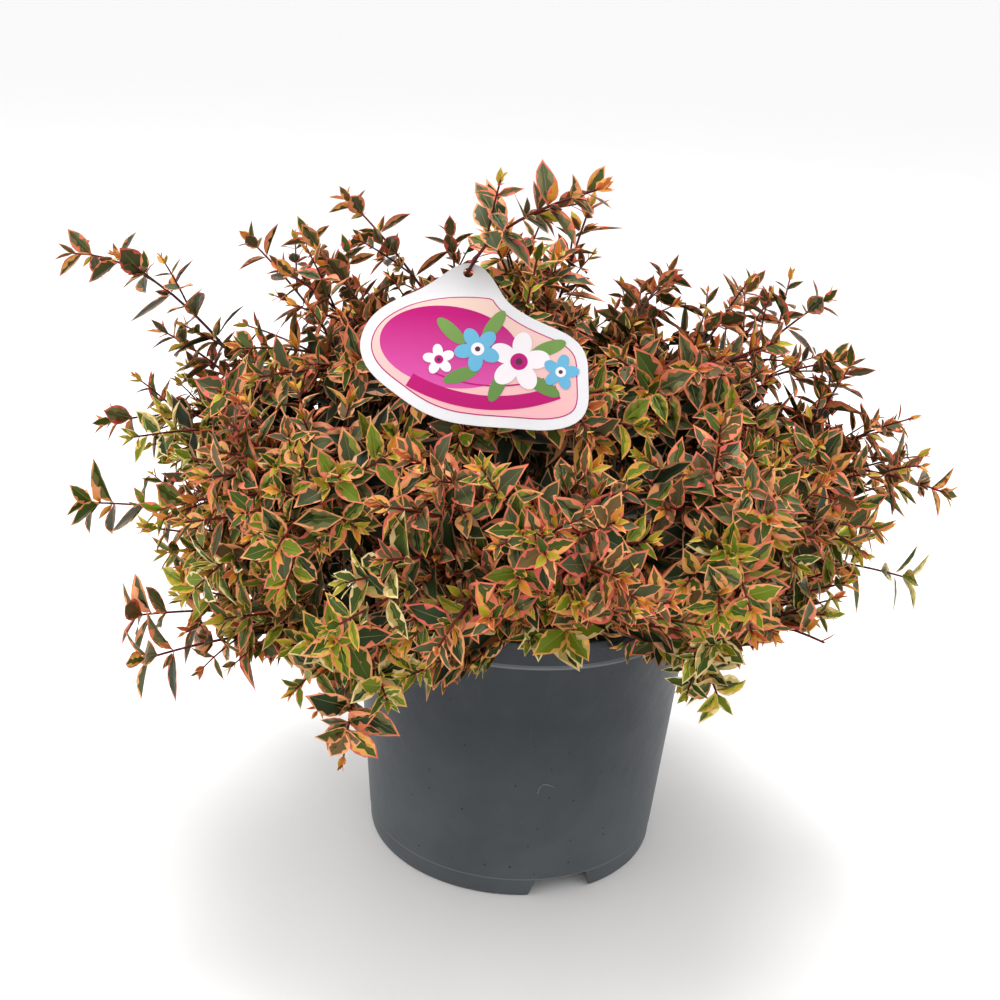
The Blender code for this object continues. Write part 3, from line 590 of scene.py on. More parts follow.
def smooth(piece: bpy.types.Object, angle: float) -> None:
    """Shade a piece smooth, with edges sharper than the angle in degrees kept."""
    drop_selection()
    piece.select_set(True)
    bpy.context.view_layer.objects.active = piece
    bpy.ops.object.shade_smooth_by_angle(angle=math.radians(angle))


def spun(name: str, profile: Profile, steps: int) -> bpy.types.Object:
    """Turn a profile about the pot's axis, as on a wheel.

    Args:
        name: Name of the piece.
        profile: Radius and height of each point, from axis to axis.
        steps: Sides of the round.

    Returns:
        The closed piece.
    """
    drop_selection()
    bpy.ops.mesh.primitive_plane_add(size=0.01)
    piece = take_up(name)
    edit(piece)
    bpy.ops.mesh.merge(type="CENTER")
    bpy.ops.transform.translate(value=(profile[0][0], 0.0, profile[0][1]))
    for (radius, height), (wider, higher) in zip(profile, profile[1:]):
        step = (wider - radius, 0.0, higher - height)
        bpy.ops.mesh.extrude_vertices_move(TRANSFORM_OT_translate={"value": step})
    bpy.ops.mesh.select_all(action="SELECT")
    bpy.ops.mesh.spin(steps=steps, angle=2.0 * math.pi, center=(0.0, 0.0, 0.0), axis=(0.0, 0.0, 1.0))
    bpy.ops.mesh.select_all(action="SELECT")
    bpy.ops.mesh.remove_doubles(threshold=0.00001)
    bpy.ops.mesh.normals_make_consistent(inside=False)
    bpy.ops.object.mode_set(mode="OBJECT")
    return piece


def flat_disc(name: str, centre: tuple[float, float], radii: tuple[float, float], turn: float,
              sides: int, level: float) -> bpy.types.Object:
    """Flat round or oval sheet in a card's own plane.

    Args:
        name: Name of the piece.
        centre: Its middle.
        radii: Its two half widths.
        turn: Angle of its first half width in degrees.
        sides: Corners round it.
        level: Height over the plane.

    Returns:
        The sheet.
    """
    drop_selection()
    bpy.ops.mesh.primitive_circle_add(vertices=sides, radius=1.0, fill_type="NGON")
    piece = take_up(name)
    edit(piece)
    bpy.ops.transform.resize(value=(radii[0], radii[1], 1.0), center_override=(0.0, 0.0, 0.0))
    bpy.ops.object.mode_set(mode="OBJECT")
    place = Matrix.Translation((centre[0], centre[1], level))
    piece.matrix_world = place @ Matrix.Rotation(math.radians(turn), 4, "Z")
    settle(piece)
    return piece


def cut_away(piece: bpy.types.Object, cutter: bpy.types.Object) -> None:
    """Cut one solid out of another by a Boolean that is applied, and remove the cutter."""
    drop_selection()
    piece.select_set(True)
    bpy.context.view_layer.objects.active = piece
    cut = piece.modifiers.new("cut", "BOOLEAN")
    cut.operation = "DIFFERENCE"
    cut.solver = "EXACT"
    cut.object = cutter
    bpy.ops.object.modifier_apply(modifier=cut.name)
    bpy.data.objects.remove(cutter, do_unlink=True)


def drawn(name: str, path: list[Vector], thick: float, thin: float, sides: int) -> bpy.types.Object:
    """Draw a tapering tube out along a path.

    Args:
        name: Name of the tube.
        path: Points along it.
        thick: Radius at its start.
        thin: Radius at its end.
        sides: Its sides.

    Returns:
        The tube, closed at both ends.
    """
    drop_selection()
    bpy.ops.mesh.primitive_circle_add(vertices=sides, radius=thick, fill_type="NGON")
    piece = take_up(name)
    turn = UP.rotation_difference(path[-1] - path[0]).to_matrix().to_4x4()
    piece.matrix_world = Matrix.Translation(path[0]) @ turn
    settle(piece)
    edit(piece)
    last = len(path) - 1
    for i in range(1, len(path)):
        bpy.ops.mesh.extrude_region_move(TRANSFORM_OT_translate={"value": path[i] - path[i - 1]})
        scale = (thick + (thin - thick) * i / last) / (thick + (thin - thick) * (i - 1) / last)
        bpy.ops.transform.resize(value=(scale, scale, scale), center_override=path[i])
    bpy.ops.mesh.select_all(action="SELECT")
    bpy.ops.mesh.normals_make_consistent(inside=False)
    bpy.ops.object.mode_set(mode="OBJECT")
    return piece


def hand_over(piece: bpy.types.Object, nodes: tuple[str, ...] = ()) -> None:
    """Let a finished piece ride on the pot, and say what it stands for.

    Args:
        piece: The piece.
        nodes: The CAD nodes that it replaces.
    """
    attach(piece, BODY)
    if nodes:
        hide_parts(*nodes)
    piece.data.calc_loop_triangles()
    LOG.info("%s: %d triangles, replaces %d nodes", piece.name, len(piece.data.loop_triangles), len(nodes))


def mesh_of(name: str, points: np.ndarray, faces: np.ndarray, slots: np.ndarray,
            tints: list[Tint]) -> bpy.types.Object:
    """One joined piece from arrays of triangles.

    Args:
        name: Name of the piece.
        points: Corners, one row each.
        faces: Corner numbers, three a row.
        slots: The tint number of each face.
        tints: The tints that the numbers name.

    Returns:
        The piece.
    """
    mesh = bpy.data.meshes.new(name)
    mesh.vertices.add(len(points))
    mesh.vertices.foreach_set("co", points.astype(np.float32).ravel())
    mesh.loops.add(faces.size)
    mesh.loops.foreach_set("vertex_index", faces.astype(np.int32).ravel())
    mesh.polygons.add(len(faces))
    mesh.polygons.foreach_set("loop_start", np.arange(0, faces.size, 3, dtype=np.int32))
    mesh.polygons.foreach_set("material_index", slots.astype(np.int32))
    mesh.polygons.foreach_set("use_smooth", np.ones(len(faces), dtype=bool))
    mesh.update(calc_edges=True)
    for tint in tints:
        mesh.materials.append(tint.material())
    piece = bpy.data.objects.new(name, mesh)
    bpy.context.scene.collection.objects.link(piece)
    return piece


# Pot and compost


# Azimuth in degrees and height of points along a fibre that clings to the pot's wall
FIBRE = ((-82.1, 0.0656), (-81.5, 0.0688), (-80.8, 0.0705), (-80.0, 0.0710), (-78.6, 0.0706), (-76.2, 0.0688))


@dataclass
class NurseryPot:
    """Round tapered pot with a shallow shoulder, a rolled rim and a notched foot skirt."""

    height: float = 0.154
    foot_radius: float = 0.0790
    skirt_height: float = 0.0105
    skirt_step: float = 0.0004
    skirt_slope: float = 0.0006
    shoulder_height: float = 0.1388
    shoulder_radius: float = 0.0899
    shoulder_step: float = 0.0009
    shoulder_slope: float = 0.0006
    rim_radius: float = 0.0940
    rim_depth: float = 0.0042
    rounding: float = 0.0010
    wall: float = 0.0018
    floor: float = 0.0020
    centre_radius: float = 0.0330
    sides: int = 144
    notch_azimuth: float = -69.5
    notch_count: int = 3
    notch_width: float = 0.036
    notch_top_width: float = 0.028
    notch_height: float = 0.0100
    cut_below: float = 0.002
    drain_count: int = 6
    drain_turn: float = 24.0
    drain_radius: float = 0.0045
    drain_ring: float = 0.0560
    fibre_radius: float = 0.00016

    def wall_radius(self, height: float) -> float:
        """Outer radius of the tapered wall at a height."""
        return self.foot_radius + (self.shoulder_radius - self.foot_radius) * height / self.shoulder_height

    def inner_radius(self, height: float) -> float:
        """Inner radius of the tapered wall at a height."""
        return self.wall_radius(height) - self.shoulder_step - self.wall

    def profile(self) -> Profile:
        """Section of the pot.

        Returns:
            Points from the middle of the floor, over the rim, to the middle of the underside.
        """
        inside_floor = self.skirt_height + self.floor
        neck = self.wall_radius(self.shoulder_height) - self.shoulder_step
        rim_foot = self.height - self.rim_depth
        skirt = self.wall_radius(self.skirt_height)
        soft = self.rounding * 0.3
        inner_skirt = self.foot_radius - self.wall
        return [
            (0.0, self.floor), (self.centre_radius - self.floor, self.floor),
            (self.centre_radius, inside_floor), (self.inner_radius(inside_floor), inside_floor),
            (self.inner_radius(self.shoulder_height), self.shoulder_height),
            (neck - self.wall, self.height - soft), (neck - self.wall + soft, self.height),
            (self.rim_radius - self.rounding, self.height),
            (self.rim_radius - soft, self.height - soft), (self.rim_radius, self.height - self.rounding),
            (self.rim_radius, rim_foot + soft), (self.rim_radius - soft, rim_foot),
            (neck + soft, rim_foot), (neck, rim_foot - soft),
            (neck, self.shoulder_height + self.shoulder_slope),
            (self.shoulder_radius - soft, self.shoulder_height + soft * 0.5),
            (self.shoulder_radius, self.shoulder_height - soft), (skirt, self.skirt_height),
            (skirt - self.skirt_step, self.skirt_height - self.skirt_slope),
            (self.foot_radius, self.rounding * 1.4), (self.foot_radius - soft, soft),
            (self.foot_radius - self.rounding, 0.0), (inner_skirt, 0.0),
            (inner_skirt, self.skirt_height), (self.centre_radius, self.skirt_height),
            (self.centre_radius, 0.0), (0.0, 0.0),
        ]

    def notch_cutter(self, azimuth: float) -> bpy.types.Object:
        """Wedge for one drain notch.

        Args:
            azimuth: Where it cuts the skirt, in degrees.

        Returns:
            The cutter.
        """
        drop_selection()
        bpy.ops.mesh.primitive_cube_add(size=1.0)
        cutter = take_up("notch_cutter")
        cutter.scale = (0.012, self.notch_width, self.notch_height + self.cut_below)
        cutter.location = (0.0, 0.0, (self.notch_height - self.cut_below) * 0.5)
        settle(cutter)
        edit(cutter)
        bpy.ops.mesh.select_all(action="DESELECT")
        bpy.ops.object.mode_set(mode="OBJECT")
        for vertex in cutter.data.vertices:
            vertex.select = vertex.co.z > 0.0
        bpy.ops.object.mode_set(mode="EDIT")
        share = self.notch_top_width / self.notch_width
        bpy.ops.transform.resize(value=(1.0, share, 1.0), center_override=(0.0, 0.0, 0.0))
        bpy.ops.object.mode_set(mode="OBJECT")
        turn = Matrix.Rotation(math.radians(azimuth), 4, "Z")
        cutter.matrix_world = Matrix.Translation(polar(azimuth, self.foot_radius, 0.0)) @ turn
        settle(cutter)
        return cutter

    def drain_cutter(self, azimuth: float) -> bpy.types.Object:
        """Round cutter for one drain hole.

        Args:
            azimuth: Where it cuts the floor, in degrees.

        Returns:
            The cutter.
        """
        drop_selection()
        place = polar(azimuth, self.drain_ring, self.skirt_height)
        bpy.ops.mesh.primitive_cylinder_add(vertices=32, radius=self.drain_radius, depth=0.010, location=place)
        cutter = take_up("drain_cutter")
        settle(cutter)
        return cutter

    def build(self, effects: Effects) -> None:
        """Make the pot and hand it over.

        Args:
            effects: The shared groups.
        """
        pot = spun("pot_shell", self.profile(), self.sides)
        for i in range(self.notch_count):
            cut_away(pot, self.notch_cutter(self.notch_azimuth + 360.0 * i / self.notch_count))
        for i in range(self.drain_count):
            cut_away(pot, self.drain_cutter(self.drain_turn + 360.0 * i / self.drain_count))
        smooth(pot, 28.0)
        pot.data.materials.append(MouldedPlastic().material(effects))
        spots = [polar(azimuth, self.wall_radius(height) + self.fibre_radius, height) for azimuth, height in FIBRE]
        fibre = drawn("fibre", spots, self.fibre_radius, self.fibre_radius * 0.7, 5)
        fibre.data.materials.append(Tint("pale_fibre", shade(150, 150, 146), 0.7).material())
        hand_over(joined("pot_shell", [pot, fibre]), ("pot",))


@dataclass
class Compost:
    """The pot's filling, uneven on top, with crumbs and chips lying on it."""

    level: float = 0.1430
    crown: float = 0.0015
    top_radius: float = 0.0869
    top_edge: float = 0.0040
    foot_radius: float = 0.0770
    foot: float = 0.0128
    sides: int = 120
    rings: int = 36
    bump: float = 0.0016
    crumbs: int = 520
    seed: int = 7

    def build(self, effects: Effects) -> None:
        """Make the compost and its crumbs, and hand them over.

        Args:
            effects: The shared groups.
        """
        reach = self.top_radius - self.top_edge
        profile = [(0.0, self.level + self.crown)]
        profile += [(reach * i / self.rings, self.level + self.crown * (1.0 - i / self.rings))
                    for i in range(1, self.rings + 1)]
        profile += [(self.top_radius, self.level - self.top_edge), (self.foot_radius, self.foot), (0.0, self.foot)]
        ball = spun("compost_fill", profile, self.sides)
        for vertex in ball.data.vertices:
            if vertex.co.z > self.level - 0.5 * self.top_edge:
                vertex.co.z += self.lumps(vertex.co)
        smooth(ball, 60.0)
        ball.data.materials.append(MoistCompost().material(effects))
        hand_over(ball, ("root_ball",))
        self.scatter()

    def lumps(self, point: Vector) -> float:
        """Height of the uneven top over its mean at a point."""
        coarse = noise.noise(point * 90.0) * 0.6 + noise.noise(point * 260.0) * 0.4
        return self.bump * coarse

    def scatter(self) -> None:
        """Lay crumbs and chips of bark on the compost."""
        dice = random.Random(self.seed)
        corners = np.array([(1, 0, 0), (0, 1, 0), (-1, 0, 0), (0, -1, 0), (0, 0, 1), (0, 0, -1)], float)
        sides = np.array([(0, 1, 4), (1, 2, 4), (2, 3, 4), (3, 0, 4), (1, 0, 5), (2, 1, 5), (3, 2, 5), (0, 3, 5)])
        points, faces, slots = [], [], []
        tints = [Tint("crumb_dark", shade(40, 30, 24), 0.95), Tint("crumb_brown", shade(78, 56, 40), 0.9),
                 Tint("crumb_pale", shade(128, 102, 76), 0.9)]
        for i in range(self.crumbs):
            radius = (self.top_radius - self.top_edge) * math.sqrt(dice.uniform(0.02, 1.0))
            place = polar(dice.uniform(0.0, 360.0), radius, self.level)
            place.z += self.lumps(place) + self.crown * 0.5
            size = [dice.uniform(0.0008, 0.0024), dice.uniform(0.0006, 0.0016), dice.uniform(0.0004, 0.0010)]
            turn = Matrix.Rotation(dice.uniform(0.0, math.tau), 3, "Z") @ Matrix.Rotation(dice.uniform(-0.5, 0.5), 3, "X")
            wobble = np.array([[dice.uniform(0.7, 1.2)] for _ in corners])
            points.append((corners * wobble * size) @ np.array(turn).T + np.array(place))
            faces.append(sides + 6 * i)
            slots.append(np.full(len(sides), dice.choice((0, 0, 1, 1, 2))))
        piece = mesh_of("compost_crumbs", np.concatenate(points), np.concatenate(faces), np.concatenate(slots), tints)
        hand_over(piece)


# Crown


class Ring(Enum):
    """Rings of masses, by their stretched elevation in degrees."""

    LOW = -12.0
    MID = 28.0
    HIGH = 61.0
    TOP = 90.0


class Spray(Enum):
    """Kinds of colouring that a leafy twig may wear."""

    CORAL = "coral"
    PEACH = "peach"
    CREAM = "cream"


class Age(Enum):
    """Leaf ages along a twig, from its tip inwards."""

    BUD = 0
    YOUNG = 1
    GROWN = 2
    INNER = 3


class Zone(Enum):
    """Zones of a leaf that take their own tints."""

    BLADE = 0
    MARGIN = 1
    RIB = 2
    FLAME = 3


# The deep green, rust and shaded tan tints dress the inner leaves: darker partly by age and partly as painted shade
# inside the crown.
DEEP_GREEN = Tint("leaf_deep_green", shade(26, 37, 17))
DARK_OLIVE = Tint("leaf_dark_olive", shade(40, 55, 27))
GREY_OLIVE = Tint("leaf_grey_olive", shade(74, 80, 50))
BRONZE_OLIVE = Tint("leaf_bronze_olive", shade(96, 78, 42))
MID_GREEN = Tint("leaf_mid_green", shade(63, 82, 26))
BRIGHT_GREEN = Tint("leaf_bright_green", shade(103, 121, 26))
LIME = Tint("leaf_lime", shade(166, 156, 40))
AMBER = Tint("leaf_amber", shade(204, 136, 46))
SHADED_RUST = Tint("leaf_shaded_rust", shade(112, 64, 32))
COPPER = Tint("leaf_copper", shade(176, 90, 44))
CORAL = Tint("leaf_coral", shade(224, 125, 91))
ROSE = Tint("leaf_rose", shade(210, 99, 84))
PEACH = Tint("leaf_peach", shade(228, 156, 104))
GOLD = Tint("leaf_gold", shade(220, 162, 80))
CREAM = Tint("leaf_cream", shade(230, 204, 146))
PALE_ROSE = Tint("leaf_pale_rose", shade(214, 160, 122))
SHADED_TAN = Tint("leaf_shaded_tan", shade(152, 112, 80))
GREY_FLAME = Tint("leaf_grey_flame", shade(112, 108, 66))
GREEN_FLAME = Tint("leaf_green_flame", shade(124, 132, 48))
CREAM_FLAME = Tint("leaf_cream_flame", shade(182, 164, 95))
PALE_RIB = Tint("leaf_pale_rib", shade(122, 120, 70))
LIME_RIB = Tint("leaf_lime_rib", shade(146, 150, 62))
RED_RIB = Tint("leaf_red_rib", shade(140, 82, 48))
TWIG_RED = Tint("twig_red", shade(92, 26, 24), 0.45)
TWIG_MAROON = Tint("twig_maroon", shade(62, 22, 20), 0.50)
TWIG_BROWN = Tint("twig_brown", shade(58, 38, 28), 0.70)

LEAF_TINTS = [
    DEEP_GREEN, DARK_OLIVE, GREY_OLIVE, BRONZE_OLIVE, MID_GREEN, BRIGHT_GREEN, LIME, AMBER, SHADED_RUST, COPPER, CORAL,
    ROSE, PEACH, GOLD, CREAM, PALE_ROSE, GREY_FLAME, GREEN_FLAME, CREAM_FLAME, PALE_RIB, LIME_RIB, RED_RIB, SHADED_TAN,
]
TWIG_TINTS = [TWIG_RED, TWIG_MAROON, TWIG_BROWN]

# For each spray and age: tints to pick from for the blade, the margin, the rib and the flames. Inner leaves take darker
# tints, partly by age and partly as painted shade inside the crown.
Garb = tuple[tuple[Tint, ...], tuple[Tint, ...], tuple[Tint, ...], tuple[Tint, ...]]
WARDROBE: dict[tuple[Spray, Age], Garb] = {
    (Spray.CORAL, Age.BUD): ((COPPER, BRONZE_OLIVE, AMBER, LIME), (CORAL, PEACH, GOLD), (AMBER,), (AMBER, COPPER)),
    (Spray.CORAL, Age.YOUNG): ((BRONZE_OLIVE, GREY_OLIVE, MID_GREEN), (CORAL, ROSE, PEACH), (RED_RIB,), (BRONZE_OLIVE, GOLD)),
    (Spray.CORAL, Age.GROWN): ((GREY_OLIVE, GREY_OLIVE, DARK_OLIVE), (CORAL, CORAL, ROSE, PEACH), (PALE_RIB,), (GREY_FLAME, GREY_FLAME, PEACH)),
    (Spray.CORAL, Age.INNER): ((DARK_OLIVE, DEEP_GREEN, DEEP_GREEN), (SHADED_RUST, SHADED_TAN, SHADED_TAN), (SHADED_RUST,), (GREY_FLAME, SHADED_RUST)),
    (Spray.PEACH, Age.BUD): ((LIME, AMBER, BRIGHT_GREEN), (GOLD, PEACH, CORAL), (GOLD,), (AMBER, GOLD)),
    (Spray.PEACH, Age.YOUNG): ((MID_GREEN, BRIGHT_GREEN), (PEACH, GOLD, CORAL), (LIME_RIB,), (LIME, GREEN_FLAME)),
    (Spray.PEACH, Age.GROWN): ((MID_GREEN, DARK_OLIVE, GREY_OLIVE), (CORAL, PEACH, PEACH), (PALE_RIB,), (GREEN_FLAME, GREY_FLAME)),
    (Spray.PEACH, Age.INNER): ((DEEP_GREEN, DEEP_GREEN, DARK_OLIVE), (SHADED_TAN, PALE_ROSE, SHADED_RUST), (PALE_RIB,), (GREY_FLAME, SHADED_RUST)),
    (Spray.CREAM, Age.BUD): ((LIME, BRIGHT_GREEN), (GOLD, CREAM), (LIME_RIB,), (LIME,)),
    (Spray.CREAM, Age.YOUNG): ((BRIGHT_GREEN, MID_GREEN), (CREAM, GOLD), (LIME_RIB,), (LIME, CREAM_FLAME)),
    (Spray.CREAM, Age.GROWN): ((MID_GREEN, MID_GREEN, DARK_OLIVE), (CREAM, CREAM, PEACH), (PALE_RIB,), (GREEN_FLAME, CREAM_FLAME)),
    (Spray.CREAM, Age.INNER): ((DEEP_GREEN, DARK_OLIVE), (PALE_ROSE, SHADED_TAN), (PALE_RIB,), (CREAM_FLAME, GREY_FLAME)),
}

# Lowest height of the cushion's leaves at a distance of hem_radius from the axis, by azimuth in degrees
HEM = (
    (-180.0, 0.116), (-170.0, 0.128), (-160.0, 0.135), (-150.0, 0.137), (-140.0, 0.134), (-130.0, 0.129),
    (-124.0, 0.118), (-117.0, 0.116), (-111.0, 0.134), (-105.0, 0.148), (-99.0, 0.168), (-95.0, 0.182),
    (-90.0, 0.190), (-72.0, 0.189), (-65.0, 0.172), (-60.0, 0.158), (-55.0, 0.158), (-50.0, 0.166),
    (-44.0, 0.172), (-36.0, 0.179), (-25.0, 0.175), (-12.0, 0.161), (5.0, 0.142), (30.0, 0.124),
    (60.0, 0.113), (140.0, 0.112),
)

# How far the cushion's leaves keep inside its outline, by azimuth in degrees
SETBACK = (
    (-165.0, 0.004), (-70.0, 0.000), (-45.0, 0.009), (-25.0, 0.030), (0.0, 0.050), (35.0, 0.050),
    (60.0, 0.030), (90.0, 0.010), (120.0, 0.027), (155.0, 0.026), (175.0, 0.014),
)


@dataclass
class CrownForm:
    """The cushion that the foliage fills: squarish in section, round in plan."""

    radius: float = 0.200
    middle: float = 0.202
    rise: float = 0.096
    drop: float = 0.058
    sag: float = 0.022
    sag_azimuth: float = -128.0
    squareness: float = 2.6
    focus: Vector = field(default_factory=lambda: Vector((0.0, 0.0, 0.175)))
    stretch: float = 1.5
    hem_radius: float = 0.155
    hem_slope: float = 0.5
    low_setback: float = 0.8

    def __post_init__(self) -> None:
        """Split the tables."""
        self.hem_azimuths, self.hem_heights = zip(*HEM)
        self.back_azimuths, self.back_lengths = zip(*SETBACK)

    def setback(self, way: Vector) -> float:
        """How far the leaves keep inside the outline along a direction, more the higher it looks."""
        azimuth = math.degrees(math.atan2(way.y, way.x))
        length = float(np.interp(azimuth, self.back_azimuths, self.back_lengths, period=360.0))
        return length * (self.low_setback + max(0.0, way.z))

    def hem(self, point: Vector) -> float:
        """Lowest height at which foliage may hang below or above a point."""
        azimuth = math.degrees(math.atan2(point.y, point.x))
        height = float(np.interp(azimuth, self.hem_azimuths, self.hem_heights, period=360.0))
        return height + self.hem_slope * (math.hypot(point.x, point.y) - self.hem_radius)

    def drop_at(self, way: Vector) -> float:
        """How far the cushion hangs below its widest level, which is most at its front left."""
        off = math.atan2(way.y, way.x) - math.radians(self.sag_azimuth)
        near = math.cos(off) > math.cos(math.pi / 4.0)
        return self.drop + (self.sag * math.cos(2.0 * off) if near else 0.0)

    def reach(self, way: Vector) -> float:
        """Distance from the focus to the cushion's outline along a unit direction."""
        low, high = 0.0, 0.5
        for _ in range(24):
            middle = 0.5 * (low + high)
            point = self.focus + way * middle
            radius = math.hypot(point.x, point.y) / self.radius
            lift = point.z - self.middle
            height = abs(lift) / (self.rise if lift > 0.0 else self.drop_at(way))
            inside = radius ** self.squareness + height ** self.squareness < 1.0
            low, high = (middle, high) if inside else (low, middle)
        return low

    def stretched(self, azimuth: float, elevation: float) -> Vector:
        """Unit direction in the space whose heights are stretched."""
        lift = math.radians(elevation)
        flat = polar(azimuth, math.cos(lift), 0.0)
        return Vector((flat.x, flat.y, math.sin(lift)))

    def real(self, stretched: Vector) -> Vector:
        """Unit direction in the real space for one in the stretched space."""
        return Vector((stretched.x, stretched.y, stretched.z / self.stretch)).normalized()


# Outline of the hang label about its middle: angle in degrees and distance
LABEL_OUTLINE = (
    (-168.0, 0.0470), (-152.0, 0.0385), (-135.0, 0.0345), (-115.0, 0.0315), (-92.0, 0.0300),
    (-72.0, 0.0315), (-55.0, 0.0360), (-40.0, 0.0455), (-28.0, 0.0535), (-20.0, 0.0525),
    (-8.0, 0.0475), (4.0, 0.0475), (14.0, 0.0440), (26.0, 0.0340), (40.0, 0.0285),
    (56.0, 0.0265), (70.0, 0.0275), (80.0, 0.0320), (88.0, 0.0385), (96.0, 0.0425),
    (104.0, 0.0425), (112.0, 0.0400), (122.0, 0.0380), (136.0, 0.0380), (150.0, 0.0430),
    (164.0, 0.0490), (180.0, 0.0510),
)


@dataclass
class LabelPlace:
    """Shape and place of the hang label, for the card itself and for what keeps off it."""

    corners: int = 108
    softening: int = 6
    thickness: float = 0.0006
    hole: Vector = field(default_factory=lambda: Vector((-0.0350, -0.0900, 0.3280)))
    hole_radius: float = 0.0022
    hole_drop: float = 0.0368
    hole_side: float = -0.0070
    lean: float = 32.0
    roll: float = -1.6
    keep_out: float = 0.0014
    margin: float = 0.0020
    front_room: float = 0.034
    bared_rim: float = 0.0050

    def matrix(self) -> Matrix:
        """Place of the card: its width along X, its face towards the front and up."""
        face = Matrix.Rotation(math.radians(90.0 - self.lean), 4, "X") @ Matrix.Rotation(math.radians(self.roll), 4, "Z")
        return Matrix.Translation(self.hole - face @ Vector((self.hole_side, self.hole_drop, 0.0))) @ face

    def clear(self, points: list[Vector]) -> bool:
        """Whether a twig or leaf keeps off the card and out of the room before its print.

        Args:
            points: Points along the twig or over the leaf, near enough to each other.

        Returns:
            True if it may grow.
        """
        local = [self.back @ point for point in points]
        for p in local:
            if abs(p.z) < self.keep_out and self.covers(p, self.margin):
                return False
            if 0.0 < p.z < self.front_room and self.covers(p, -self.bared_rim if p.y < 0.0 else self.margin):
                return False
        for a, b in zip(local, local[1:]):
            if a.z * b.z < 0.0 and self.covers(a.lerp(b, a.z / (a.z - b.z)), self.margin):
                return False
        return True

    def covers(self, point: Vector, spare: float) -> bool:
        """Whether a point lies before or behind the card, widened by a spare length, in the card's own space."""
        step = math.degrees(math.atan2(point.y, point.x)) % 360.0 * self.corners / 360.0
        return math.hypot(point.x, point.y) < self.radii[int(step) % self.corners] + spare

    def __post_init__(self) -> None:
        """Round the outline off and keep the way back to the card's own plane."""
        angles = np.arange(self.corners) * (360.0 / self.corners)
        given_angles, given_radii = zip(*LABEL_OUTLINE)
        radii = np.interp(angles, given_angles, given_radii, period=360.0)
        for _ in range(self.softening):
            radii = 0.5 * radii + 0.25 * (np.roll(radii, 1) + np.roll(radii, -1))
        self.radii = radii.tolist()
        self.back = self.matrix().inverted()


OUTLINE = ((0.0, 0.04), (0.06, 0.12), (0.13, 0.48), (0.24, 0.82), (0.38, 1.0), (0.53, 0.98), (0.67, 0.79),
           (0.80, 0.50), (0.91, 0.20), (1.0, 0.0))
SMALL_OUTLINE = ((0.0, 0.06), (0.12, 0.42), (0.34, 1.0), (0.60, 0.86), (0.83, 0.36), (1.0, 0.0))


